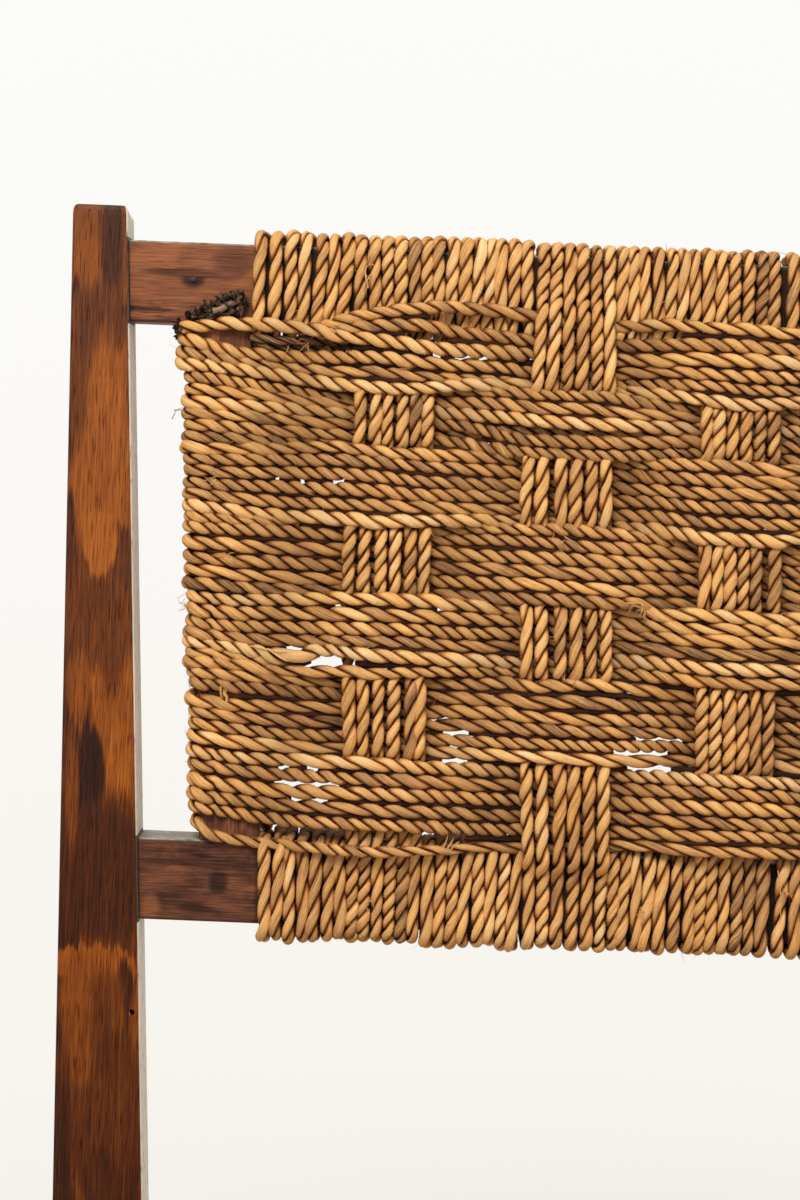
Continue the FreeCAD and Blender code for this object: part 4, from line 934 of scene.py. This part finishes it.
def weave_seat():
    turns = SEAT.hook_pieces()
    made = list(turns.values())
    top = SEAT.high - 2 * ROOM
    bands, lines = [], []
    for row in range(SEAT_BAND_COUNT):
        piece = SEAT.piece(f"weft_cords_{row + 1}", f"weft_{row + 1}", "weft_cord")
        made.append(piece)
        upper = top - row * 6 * SEAT_PITCH
        bands.append((upper, upper - 6 * SEAT_PITCH))
        for strand in range(6):
            level = upper - (strand + 0.5) * SEAT_PITCH
            reach = SEAT.outer(level) - HOOK_START
            x = np.linspace(-reach, reach, SEAT_POINTS)
            z = level + 0.5 * wave(x, 90.0) + 0.2 * wave(x, 25.0)
            y = weft_depth(SEAT, row, SEAT_COLUMNS, x) + 0.3 * wave(x, 30.0)
            # Painted shade: a weft is darker where it dips under a warp
            _, shade = standing(SEAT, x, y, SEAT_SHADE_REACH)
            front = np.stack([x, y, z], axis=1)
            lines.append((piece, front))
            left = SEAT.weft_hook(-1, z[0], z[0], random.uniform(*SEAT_BULGE))[::-1]
            right = SEAT.weft_hook(1, z[-1], z[-1], random.uniform(*SEAT_BULGE))
            lay([left, front, right], [turns[-1], piece, turns[1]], ALONG, SEAT.fineness,
                radius=CORD_RADIUS * random.uniform(0.95, 1.05), tone=random.uniform(0.3, 0.75),
                shade=(x, shade))
    shade_crevices(lines, SEAT)
    windings = SEAT.wrap_pieces()
    made.extend(windings.values())
    for column, place in enumerate(SEAT_COLUMNS):
        piece = SEAT.piece(f"warp_cords_{column + 1}", f"warp_{column + 1}", "warp_cord")
        made.append(piece)
        for strand in range(6):
            xs = place + (strand - 2.5) * SEAT_WARP_PITCH + random.uniform(-0.5, 0.5, 5)
            owners = windings[True], piece, windings[False]
            warp_strand(SEAT, xs, SEAT_WARP_STATIONS, bands, column, owners, random.uniform(0.35, 0.75),
                        random.uniform(0.92, 1.02), random.uniform(-0.3, 0.5))
    for at_high in (True, False):
        edge = SEAT.outer(SEAT.high if at_high else SEAT.low) - STILE_WIDTH - 0.5
        sides = [place + side * SEAT_COLUMN_EDGE for place in SEAT_COLUMNS for side in (-1, 1)]
        limits = [-edge, *sides, edge]
        for first, last in zip(limits[0::2], limits[1::2]):
            count = int((last - first - 5.2) / SEAT_WRAP_PITCH) + 1
            places = np.linspace(first + SEAT_WRAP_START, last - SEAT_WRAP_START, count)
            places = places + random.uniform(-0.3, 0.3, count)
            winding(SEAT, at_high, places, windings[at_high], SEAT_WRAP_SLACK)
    return made


# Frays, loose hairs and the blackened end on the upper rail

# Frayed places: pixel, depth before the rails' front, how many fibres, how long, how far spread
FRAYED_PLACES = [
    (637, 607, 11.5, 14, 3.0, 2.0), (644, 616, 10.5, 5, 3.0, 1.5), (449, 846, 9.0, 5, 4.0, 3.0),
    (360, 652, 11.0, 8, 6.0, 3.0), (312, 650, 7.0, 10, 6.0, 4.0), (560, 540, 11.5, 7, 6.0, 6.0),
    (371, 278, 6.5, 5, 10.0, 2.0), (786, 893, 6.5, 14, 5.0, 2.2), (560, 680, 11.0, 10, 6.0, 8.0),
    (184, 600, 2.0, 6, 5.0, 3.0), (300, 337, 2.5, 22, 9.0, 9.0), (330, 340, 2.5, 14, 8.0, 8.0),
    (212, 480, 4.0, 5, 6.0, 3.0), (228, 556, 5.0, 5, 6.0, 3.0), (641, 913, 6.5, 8, 3.0, 2.0),
    (355, 931, 4.5, 8, 4.0, 2.5), (369, 903, 6.5, 6, 4.0, 3.0)]
# Single bundles of fibre that lie loose: radius, tone and pixels with a depth
LOOSE_LINES = [
    (0.7, 0.45, [(627, 603, 9.5), (634, 604, 12.0), (640, 603, 12.8), (644, 609, 12.2), (645, 620, 10.8)]),
    (0.6, 0.3, [(629, 613, 9.5), (633, 606, 12.6), (640, 608, 12.8), (637, 614, 11.0)]),
    (0.45, 0.35, [(640, 602, 10.5), (642, 611, 12.6), (638, 617, 11.0)]),
    (0.4, 0.95, [(443, 848, 9.5), (446, 842, 11.0), (448, 835, 11.5)]),
    (0.35, 0.95, [(447, 849, 9.5), (451, 843, 11.0), (454, 837, 11.5)]),
    (0.35, 0.9, [(451, 850, 9.5), (455, 845, 11.0), (460, 841, 11.0)]),
    (0.35, 0.9, [(368, 288, 6.2), (366, 268, 7.5), (371, 264, 8.6), (377, 268, 8.0)]),
    (0.5, 0.8, [(268, 649, 5.5), (290, 661, 8.0), (312, 650, 7.0)]),
    (0.3, 0.95, [(250, 646, 5.5), (285, 652, 8.5), (330, 655, 6.5)]),
    (0.2, 0.2, [(172, 419, 1.0), (177, 410, 3.0), (187, 407, 4.5)]),
    (0.25, 0.1, [(174, 410, 1.0), (180, 410, 3.0), (188, 411, 4.5)]),
    (0.25, 0.8, [(778, 870, 6.3), (781, 900, 6.6), (780, 925, 6.0)])]
# Short ends of cord: radius, tone and pixels with a depth
LOOSE_CORDS = [
    (2.3, 0.05, [(252, 336, 1.5), (272, 340, 3.4), (300, 341, 3.6), (332, 342, 3.4), (362, 345, 2.0)]),
    (2.2, 0.0, [(256, 346, 0.2), (290, 349, 0.6), (330, 350, 0.8), (346, 351, 0.4)]),
    (1.8, 0.7, [(223, 685, 2.0), (224, 694, 4.6), (225, 703, 3.0)])]
# The blackened tuft: places along its middle, and its fibres' thickness, count at each place, and length
TUFT_SPINE = [(194, 316), (200, 312), (207, 308), (214, 305), (220, 302), (227, 299), (234, 296),
              (239, 294), (241, 300), (240, 307), (238, 313), (230, 311), (221, 313), (209, 315)]
TUFT_FIBRES = ((1.35, 4, 2.6), (0.75, 7, 3.2), (0.22, 3, 3.8))
# Three paler lumps in it: pixel and tone
TUFT_LUMPS = ((213, 311, 1.0), (219, 310, 0.95), (228, 304, 0.8))
CHARRED_END = (177, 330)
CHARRED_COUNT = 34


def picture_point(px, py, depth):
    return from_picture(px, py, BACK.front - depth)


def picture_line(spots, count):
    """A smooth line through pixels, each with a depth before the rails' front."""
    points = np.array([picture_point(*spot) for spot in spots])
    run = lengths(points)
    at = np.linspace(0, run[-1], count)
    return np.stack([smooth(run, column, at) for column in points.T], axis=1)


def fray_back():
    """Short fibres that stand off the cords, and the frayed places that the picture shows."""
    piece = Piece("back_frays", BACK_MATRIX, "weft_cord")
    for point, along, outward in sprouts:
        way = along * random.choice((-1, 1)) + unit(outward) * random.uniform(0.2, 0.8)
        way = way + random.normal(0, 0.35, 3)
        line = curl(point - outward * 0.08, way, random.uniform(3, 11), 0.9)
        piece.take(Hair(line, random.uniform(0.07, 0.17), random.uniform(0.5, 1.0)))
    for px, py, depth, count, length, spread in FRAYED_PLACES:
        for _ in range(count):
            start = picture_point(px + random.normal(0, spread), py + random.normal(0, spread), depth)
            way = np.array([random.normal(0, 1), -random.uniform(0.1, 0.9), random.normal(0, 1)])
            line = curl(start, way, length * random.uniform(0.5, 1.2), 1.4)
            piece.take(Hair(line, random.uniform(0.12, 0.32), random.uniform(0.35, 0.9)))
    for radius, tone, spots in LOOSE_LINES:
        piece.take(Hair(picture_line(spots, 14), radius, tone, sides=5))
    for radius, tone, spots in LOOSE_CORDS:
        piece.take(Cord(picture_line(spots, 40), ALONG, BACK.fineness, radius=radius, tone=tone))
    return piece


def blackened_tuft():
    """Charred, matted fibre on the front of the upper rail."""
    piece = Piece("cord_tuft_fibre", BACK_MATRIX, "dark_fibre", "cord_tuft")
    for px, py in TUFT_SPINE:
        for size, count, reach in TUFT_FIBRES:
            for _ in range(count):
                start = picture_point(px + random.normal(0, 1.8), py + random.normal(0, 1.8),
                                      random.uniform(0.5, 4.5))
                way = random.normal(0, 1, 3) * (1.0, 0.4, 0.6) + (0.5, 0, 0.3)
                line = curl(start, way, reach * random.uniform(0.5, 1.2), 3.0)
                line[:, 1] = np.clip(line[:, 1], BACK.front - 7.0, BACK.front - 0.5)
                piece.take(Hair(line, size * random.uniform(0.6, 1.1), random.uniform(0, 0.75), 6, True))
    for px, py, tone in TUFT_LUMPS:
        line = curl(picture_point(px, py, 5.0), (1, 0, 0.2), 5.0, 1.0)
        piece.take(Hair(line, 1.2, tone, 7, True))
    for _ in range(CHARRED_COUNT):
        px, py = CHARRED_END + random.normal(0, (1.8, 3.2))
        start = picture_point(px, py, random.uniform(0, 5))
        way = random.normal(0, 1, 3) * (0.5, 0.4, 1) + (0.5, 0, 0)
        line = curl(start, way, random.uniform(0.8, 1.9), 2.0)
        piece.take(Hair(line, random.uniform(0.3, 0.8), random.uniform(0, 0.6), 5, True))
    return piece


# Materials

class Shader:
    """The node tree of a material or a world, with its nodes set in one call each."""

    def __init__(self, owner):
        self.owner = owner
        owner.use_nodes = True
        self.tree = owner.node_tree
        self.tree.nodes.clear()

    def node(self, kind, inputs=(), output=0, **settings):
        made = self.tree.nodes.new("ShaderNode" + kind)
        for key, value in settings.items():
            setattr(made, key, value)
        for key, value in dict(inputs).items():
            if isinstance(value, bpy.types.NodeSocket):
                self.tree.links.new(value, made.inputs[key])
            else:
                made.inputs[key].default_value = value
        return made.outputs[output] if output is not None else made

    def math(self, operation, *values):
        return self.node("Math", enumerate(values), operation=operation)

    def ramp(self, factor, stops):
        made = self.node("ValToRGB", {0: factor}, output=None)
        elements = made.color_ramp.elements
        while len(elements) < len(stops):
            elements.new(0.5)
        for element, (place, colour) in zip(elements, stops):
            element.position = place
            element.color = (*colour, 1)
        return made.outputs[0]

    def mix(self, factor, first, second, blend="MIX"):
        return self.node("Mix", {0: factor, 6: first, 7: second}, 2, data_type="RGBA", blend_type=blend)

    def tint(self, colour, factor, stops):
        """A colour multiplied by the ramp of another value."""
        return self.mix(1.0, colour, self.ramp(factor, stops), "MULTIPLY")

    def spread(self, value, start, end, first=0.0, last=1.0, **settings):
        """A value's range from start to end laid over the range from first to last."""
        return self.node("MapRange", {0: value, 1: start, 2: end, 3: first, 4: last}, **settings)

    def split(self, value, kind="XYZ"):
        return self.node(f"Separate{kind}", {0: value}, output=None).outputs

    def scaled(self, vector, scale, move=(0, 0, 0)):
        return self.node("Mapping", {"Vector": vector, "Scale": scale, "Location": move})

    def noise(self, vector, scale=None, detail=3.0, roughness=0.55, distortion=0.0, move=(0, 0, 0)):
        """Noise, with a scale of its own along each axis."""
        place = vector if scale is None else self.scaled(vector, scale, move)
        return self.node("TexNoise", {"Vector": place, "Scale": 1.0, "Detail": detail,
                                      "Roughness": roughness, "Distortion": distortion})

    def centred(self, value, share, base):
        """A noise about its middle, scaled and added to a base."""
        return self.math("MULTIPLY_ADD", self.math("SUBTRACT", value, 0.5), share, base)

    def finish(self, surface, kind="Material"):
        self.node(f"Output{kind}", {"Surface": surface}, output=None)
        return self.owner


def hexed(code):
    """A colour written as in a picture, in the renderer's own scale."""
    values = [int(code[start:start + 2], 16) / 255 for start in (0, 2, 4)]
    return tuple(value / 12.92 if value <= 0.04045 else ((value + 0.055) / 1.055) ** 2.4
                 for value in values)


def stops(*pairs):
    """The stops of a colour ramp: places and written colours."""
    return [(place, hexed(code)) for place, code in pairs]


def cord_material(name, colours, shade):
    """Dry plant fibre: streaks along each ply, with painted shade where plies meet, on the flanks between
    the cords and where a cord lies in a recess.
    """
    shader = Shader(bpy.data.materials.new(name))
    fibre = shader.node("Attribute", output=1, attribute_name="fibre")
    tone = shader.node("Attribute", output=None, attribute_name="tone").outputs
    lightness, outward, off_middle = shader.split(tone[0], "Color")[:3]
    streaks = shader.noise(fibre, (0.05, 1.5, 1.5), 4.0, 0.66)
    fine = shader.noise(fibre, (0.14, 4.8, 4.8), 3.0, 0.65)
    patches = shader.noise(fibre, (0.05, 0.03, 0.03), 2.0)
    value = shader.math("MULTIPLY_ADD", patches, 0.7, shader.math("ADD", streaks, -1.25))
    value = shader.math("ADD", fine, value)
    value = shader.math("MULTIPLY_ADD", lightness, 0.8, value)
    colour = shader.ramp(value, colours)
    aged = shader.noise(fibre, (0.014, 0.02, 0.02), 2.0, move=(4, 7, 2))
    colour = shader.tint(colour, aged, [(0.34, (1.0, 0.92, 0.76)), (0.47, (1, 1, 1)),
                                        (0.62, (0.82, 0.8, 0.82))])
    # Painted shade where the plies meet, and on a cord's flanks where neighbouring cords touch
    colour = shader.tint(colour, outward, [(0.01, shade), (0.13, (0.26, 0.15, 0.08)),
                                           (0.27, (0.74, 0.6, 0.46)), (0.5, (1, 1, 1))])
    colour = shader.tint(colour, off_middle, [(0.0, shade), (0.13, (0.22, 0.13, 0.07)),
                                              (0.3, (0.62, 0.49, 0.36)), (0.56, (1, 1, 1))])
    # Painted shade where a cord lies in a recess or turns into the opening
    colour = shader.tint(colour, tone[3], [(0.5, (0.42, 0.36, 0.3)), (1.0, (1, 1, 1))])
    height = shader.math("MULTIPLY_ADD", streaks, 0.8, shader.math("MULTIPLY", fine, 0.5))
    bump = shader.node("Bump", {"Strength": 0.8, "Distance": 0.0009, "Height": height})
    return shader.finish(shader.node("BsdfPrincipled", {
        "Base Color": colour, "Roughness": 0.66, "Normal": bump, "Specular IOR Level": 0.2}))


cord_finish = cord_material(
    "cord", stops((0.0, "4e3826"), (0.2, "936c47"), (0.42, "cb955b"), (0.64, "ecb168"), (0.85, "f6c480"),
                  (1.0, "fad7a2")), (0.02, 0.011, 0.006))
char_finish = cord_material(
    "charred_cord", stops((0.0, "0e0a08"), (0.3, "3a2a1f"), (0.65, "70523f"), (1.0, "a08468")), (0.5,) * 3)


def panel_place(shader, turn, matrix):
    """Places in a panel's frame, in millimetres, as a material reads them."""
    place = shader.node("TexCoord", output=3)
    return shader.node("Mapping", {
        "Vector": place, "Location": tuple(np.linalg.inv(matrix)[:3, 3]),
        "Rotation": (math.radians(turn), 0, 0), "Scale": (1 / MM,) * 3})


# Figure of the wood: centre, half width and half height in the picture, lightness and softness
POST_FIGURE = [
    (84, 250, 20, 60, 0.62, 0.6), (112, 240, 11, 56, 0.28, 0.5), (88, 262, 12, 30, 0.72, 0.6),
    (75, 292, 5, 14, 0.26, 0.6), (100, 320, 36, 34, 0.46, 0.6), (105, 425, 22, 90, 0.82, 0.5),
    (78, 385, 9, 60, 0.5, 0.6), (100, 490, 34, 60, 0.8, 0.5), (70, 516, 5, 26, 0.32, 0.7),
    (122, 556, 15, 30, 0.42, 0.4), (100, 620, 40, 50, 0.5, 0.5), (100, 540, 18, 35, 0.9, 0.25),
    (78, 690, 12, 40, 0.7, 0.5), (112, 730, 20, 40, 0.76, 0.5), (119, 762, 13, 40, 0.86, 0.25),
    (91, 770, 14, 42, 0.14, 0.35), (100, 870, 50, 76, 0.3, 0.5), (72, 790, 7, 60, 0.56, 0.6),
    (95, 965, 46, 20, 0.8, 0.25), (80, 1000, 22, 44, 0.68, 0.6), (125, 987, 8, 27, 0.28, 0.5),
    (108, 1010, 18, 40, 0.5, 0.6), (98, 1110, 46, 90, 0.44, 0.5), (62, 1150, 9, 70, 0.24, 0.6),
    (80, 1050, 12, 36, 0.62, 0.6), (100, 1180, 20, 30, 0.32, 0.6)]
RAIL_FIGURE = [
    (150, 262, 24, 16, 0.74, 0.7), (185, 290, 60, 12, 0.66, 0.7), (193, 279, 11, 9, 0.2, 0.9),
    (190, 273, 46, 4, 0.38, 0.9), (150, 309, 24, 3, 0.22, 0.7), (218, 307, 32, 4, 0.42, 0.8),
    (128, 308, 7, 3, 0.02, 0.5), (232, 262, 18, 16, 0.46, 0.8), (150, 320, 30, 3, 0.36, 0.6),
    (190, 862, 55, 4, 0.2, 0.8), (160, 880, 26, 10, 0.5, 0.8), (218, 882, 9, 12, 0.16, 0.9),
    (195, 907, 16, 6, 0.2, 0.9), (150, 907, 10, 12, 0.66, 0.9), (230, 905, 24, 5, 0.5, 0.8)]
POST_STOPS = stops((0.0, "1e0f09"), (0.2, "35190a"), (0.4, "50250b"), (0.6, "6e370f"), (0.8, "8a4713"),
                   (1.0, "a65d1d"))
RAIL_STOPS = stops((0.0, "20130e"), (0.25, "472a1e"), (0.5, "6d422d"), (0.75, "8f5635"), (1.0, "a8683c"))
SPLAY_SLOPE = math.tan(math.radians(POST_SPLAY))


def figured(shader, spot, value, figure, depth, lean=0.0):
    """Lays the listed lighter and darker areas over a value, each with its own soft edge."""
    for px, py, wide, high, light, soft in figure:
        point = from_picture(px, py, depth)
        centre = (point[0] + (point[2] - BACK_LENGTH) * lean, point[2], 0)
        scale = (1 / (wide * PIXEL_SIZE), 1 / (high * PIXEL_SIZE), 0)
        moved = shader.node("Mapping", {"Vector": spot, "Scale": scale,
                                        "Location": tuple(-c * s for c, s in zip(centre, scale))})
        away = shader.node("VectorMath", {0: moved}, 1, operation="LENGTH")
        mask = shader.spread(away, 1 + soft / 2, 1 - soft / 2, interpolation_type="SMOOTHSTEP")
        value = shader.math("MULTIPLY_ADD", mask, shader.math("SUBTRACT", light, value), value)
    return value


def wood_surface(shader, place, colour, pores):
    """Rubbed, waxed wood with a low, uneven gloss."""
    dirt = shader.noise(place, (0.5, 0.5, 0.2), 4.0, 0.7)
    rough = shader.math("MULTIPLY_ADD", dirt, 0.3, 0.34)
    bump = shader.node("Bump", {"Strength": 0.25, "Distance": 0.0003, "Height": pores})
    return shader.finish(shader.node("BsdfPrincipled", {
        "Base Color": colour, "Roughness": rough, "Normal": bump, "Specular IOR Level": 0.12}))


def post_material():
    """Red-brown wood with an orange flame and fine pores; its inner side is pale grey, dust with a painted
    reflection, with painted shade where the rails meet it.
    """
    shader = Shader(bpy.data.materials.new("post_wood"))
    place = panel_place(shader, BACK_RECLINE, BACK_MATRIX)
    threads = shader.noise(place, (0.8, 0.8, 0.022), 4.0, 0.62)
    hairs = shader.noise(place, (2.2, 2.2, 0.06), 3.0, 0.6)
    ragged = shader.noise(place, (0.6, 0.6, 0.015), 3.0, 0.65)
    clouds = shader.noise(place, (0.06, 0.06, 0.0085), 3.0, 0.55, 0.6, (3, 1, 2))
    across, _, height = shader.split(place)
    lean = shader.math("MULTIPLY_ADD", height, SPLAY_SLOPE, -BACK_LENGTH * SPLAY_SLOPE)
    spot = shader.node("CombineXYZ", {0: shader.math("ADD", across, lean),
                                      1: shader.centred(ragged, 20.0, height)})
    value = shader.node("Clamp", {0: shader.centred(clouds, 2.4, 0.45), 1: 0.2, 2: 0.8})
    value = figured(shader, spot, value, POST_FIGURE, POST_FRONT, SPLAY_SLOPE)
    value = shader.centred(hairs, 0.7, shader.centred(threads, 0.42, value))
    colour = shader.ramp(value, POST_STOPS)
    haze = shader.spread(height, 150.0, 440.0, 0.0, 0.025)
    colour = shader.mix(haze, colour, (*hexed("b5a59a"), 1))
    pores = shader.noise(place, (2.3, 2.3, 0.09), 2.0, 0.5)
    colour = shader.tint(colour, pores, [(0.54, (1, 1, 1)), (0.64, (0.42, 0.34, 0.28))])
    world = shader.node("TexCoord", output=None).outputs
    facing_in = shader.math("MULTIPLY", shader.split(world[3])[0], shader.split(world[1])[0])
    grain = shader.noise(place, (0.9, 0.35, 0.03), 4.0, 0.65)
    flecks = shader.noise(place, (0.5, 0.5, 0.16), 4.0, 0.7, move=(7, 2, 5))
    # The inner side is painted pale: a painted reflection of the pale surroundings at a grazing angle, with
    # dust
    inner_sheen_and_dust = shader.ramp(grain, stops((0.3, "d6c8b4"), (0.5, "eee3d3"), (0.7, "f8f1e6")))
    inner_sheen_and_dust = shader.tint(inner_sheen_and_dust, flecks, [(0.34, (0.45, 0.37, 0.29)), (0.43, (0.94, 0.91, 0.87)),
                                      (0.6, (1, 1, 1))])
    # Painted shade, near black, in the corners where the rails meet the post's inner side
    rail_corner_shades = [shader.math("COMPARE", height, level, 18.0) for level in (420.0, 172.6)]
    rail_corner_shade = shader.math("MULTIPLY", shader.math("ADD", *rail_corner_shades), 0.9)
    inner_sheen_and_dust = shader.mix(rail_corner_shade, inner_sheen_and_dust, (0.012, 0.008, 0.005, 1))
    colour = shader.mix(shader.spread(facing_in, -0.12, -0.19), colour, inner_sheen_and_dust)
    return wood_surface(shader, place, colour, pores)


def rail_material(name, turn, matrix, along, of_back=False):
    """Darker wood with its grain along one way of the piece, cloudy and lined with curved figure; on the
    back's rails, painted shade at the posts and under the windings, and pale dust with a painted reflection
    on faces that look up.
    """
    shader = Shader(bpy.data.materials.new(name))
    place = panel_place(shader, turn, matrix)

    def stretched(across_grain, down_grain):
        return [down_grain if axis == along else across_grain for axis in range(3)]

    def grain(across_grain, down_grain, *look, **more):
        return shader.noise(place, stretched(across_grain, down_grain), *look, **more)

    clouds = grain(0.1, 0.04, 4.0, 0.62, 0.6, move=(5, 3, 1))
    threads = grain(2.0, 0.07, 4.0, 0.6)
    warped = shader.node("VectorMath", {0: shader.scaled(place, stretched(0.16, 0.012)),
                                        1: grain(0.02, 0.012, 2.0)}, operation="ADD")
    lines = shader.noise(warped, None, 2.0, 0.5, 1.2)
    dark = shader.ramp(lines, [(0.44, (0, 0, 0)), (0.5, (1, 1, 1)), (0.56, (0, 0, 0))])
    value = shader.centred(clouds, 1.2, 0.52)
    across, _, height = shader.split(place)
    if of_back:
        value = shader.math("ADD", value, shader.spread(height, 190.0, 403.0, -0.16, 0.12))
        spot = shader.node("CombineXYZ", {0: across, 1: shader.centred(threads, 5.0, height)})
        value = figured(shader, spot, value, RAIL_FIGURE, BACK.front)
    value = shader.centred(threads, 0.85, value)
    value = shader.math("MULTIPLY_ADD", dark, -0.08, value)
    colour = shader.ramp(value, RAIL_STOPS)
    pores = grain(3.0, 0.1, 2.0, 0.5)
    colour = shader.tint(colour, pores, [(0.58, (1, 1, 1)), (0.72, (0.5, 0.44, 0.42))])
    if of_back:
        # Painted shade, near black, where a rail runs in beside a post
        off_middle = shader.math("ABSOLUTE", across)
        end = shader.math("MULTIPLY_ADD", height, -0.05568, off_middle)
        colour = shader.mix(shader.spread(end, 233.8, 233.95, 0.0, 0.93), colour, (0.004, 0.003, 0.002, 1))
        # Painted shade on the rail under and between the windings
        inner = shader.math("MULTIPLY_ADD", height, -0.03, off_middle)
        colour = shader.mix(shader.spread(inner, 191.0, 188.5, 0.0, 0.88), colour, (0.01, 0.006, 0.004, 1))
        # Faces that look up are pale: dust with a painted reflection of the pale surroundings
        facing = shader.split(shader.node("TexCoord", output=1))[2]
        dust_and_sheen_grain = grain(0.35, 0.12, 4.0, 0.7, move=(2, 8, 4))
        top_dust_and_sheen = shader.ramp(dust_and_sheen_grain, stops((0.36, "55493c"), (0.5, "95907f"), (0.66, "b7b2a3")))
        colour = shader.mix(shader.spread(facing, 0.7, 0.9, 0.0, 0.9), colour, top_dust_and_sheen)
    return wood_surface(shader, place, colour, pores)


NAIL_PLACE = (-231.1, BACK.front, 422.0)


def nail_material():
    """A small rusted head with a bright worn middle."""
    shader = Shader(bpy.data.materials.new("nail"))
    place = panel_place(shader, BACK_RECLINE, BACK_MATRIX)
    off = shader.node("VectorMath", {0: place, 1: NAIL_PLACE}, 1, operation="DISTANCE")
    colour = shader.ramp(shader.math("MULTIPLY", off, 0.5),
                         stops((0.2, "e4e0d6"), (0.3, "5a4336"), (0.45, "2c1a12")))
    return shader.finish(shader.node("BsdfPrincipled", {"Base Color": colour, "Roughness": 0.6}))


post_finish = post_material()
side_finish = rail_material("side_wood", 90 + SEAT_TILT, SEAT_MATRIX, 2)
# The wood of each node, by how its name starts
FINISHES = (("cord_nail", nail_material()), ("post", post_finish), ("front_leg", post_finish),
            ("side", side_finish), ("seat_bar", side_finish),
            ("back_stile", rail_material("stile_wood", BACK_RECLINE, BACK_MATRIX, 2)),
            ("back_rail", rail_material("back_rail_wood", BACK_RECLINE, BACK_MATRIX, 0, True)),
            ("", rail_material("rail_wood", BACK_RECLINE, BACK_MATRIX, 0)))

wefts, turns, bands = weave_back()
warps, windings = warp_back(bands)
seat = weave_seat()
for piece in [*wefts, *turns.values(), *warps, *windings.values(), *seat, fray_back()]:
    piece.build(cord_finish)
blackened_tuft().build(char_finish)

for name, node in frame["nodes"].items():
    if any(word in name for word in ("weft", "warp", "turns", "winding", "tuft")):
        node.hide_render = True
        continue
    node.data.materials.clear()
    node.data.materials.append(next(finish for start, finish in FINISHES if name.startswith(start)))


# Studio

def make_stage():
    """A pale floor that curves up into a backdrop, well behind the chair."""
    mesh = bpy.data.meshes.new("floor")
    half, bend, back, height, front = 14.0, 3.0, 5.0, 9.0, -12.0
    curve = arc((back - bend, bend), bend, -90, 0, 24)
    outline = [(front, 0.0), (back - bend, 0.0), *curve, (back, height)]
    points = [(x, y, z) for y, z in outline for x in (-half, half)]
    faces = [(2 * step, 2 * step + 1, 2 * step + 3, 2 * step + 2) for step in range(len(outline) - 1)]
    mesh.from_pydata(points, [], faces)
    mesh.polygons.foreach_set("use_smooth", [True] * len(faces))
    floor = link(bpy.data.objects.new("floor", mesh))
    shader = Shader(bpy.data.materials.new("floor"))
    place = shader.node("TexCoord", output=3)
    distance = shader.node("VectorMath", {0: place}, 1, operation="LENGTH")
    share = shader.spread(distance, 0.6, 4.6, interpolation_type="SMOOTHSTEP")
    colour = shader.ramp(share, stops((0.0, "f7f4ed"), (0.5, "faf8f4"), (1.0, "fcfcf9")))
    lit = shader.node("BsdfPrincipled", {"Base Color": (*hexed("eeebe4"), 1), "Roughness": 1.0,
                                         "Specular IOR Level": 0.0})
    seen = shader.node("Emission", {0: colour, 1: 1.0})
    far = shader.spread(distance, 0.45, 1.3, interpolation_type="SMOOTHSTEP")
    rays = shader.node("LightPath", output=None).outputs
    looked = shader.math("MAXIMUM", rays["Is Camera Ray"], rays["Is Glossy Ray"])
    looked = shader.math("MAXIMUM", looked, rays["Is Transmission Ray"])
    surface = shader.node("MixShader", {0: shader.math("MULTIPLY", looked, far), 1: lit, 2: seen})
    mesh.materials.append(shader.finish(surface))


def make_light(name, place, target, size, power):
    data = bpy.data.lights.new(name, "AREA")
    data.shape = "RECTANGLE"
    data.size, data.size_y = size
    data.energy = power
    lamp = link(bpy.data.objects.new(name, data))
    facing = (Vector(target) - Vector(place)).to_track_quat("-Z", "Y")
    lamp.matrix_world = Matrix.LocRotScale(Vector(place), facing, None)


def make_world():
    """Soft light, stronger from above, and an even pale ground where the camera sees it."""
    world = bpy.data.worlds.new("studio")
    bpy.context.scene.world = world
    shader = Shader(world)
    upward = shader.split(shader.node("TexCoord"))[2]
    lit = shader.node("Background", {1: shader.spread(upward, -0.3, 1.0, 0.06, 1.06)})
    seen = shader.node("Background", {0: (*hexed("fcfcf9"), 1)})
    looked = shader.node("LightPath", output="Is Camera Ray")
    shader.finish(shader.node("MixShader", {0: looked, 1: lit, 2: seen}), "World")


make_stage()
make_world()
make_light("key", (-0.7, -1.4, 2.9), (0, 0.25, 0.65), (1.0, 0.8), 64)
make_light("fill", (1.8, -1.5, 1.3), (0, 0.25, 0.6), (1.2, 1.2), 11)

bpy.context.scene.view_settings.view_transform = "Standard"
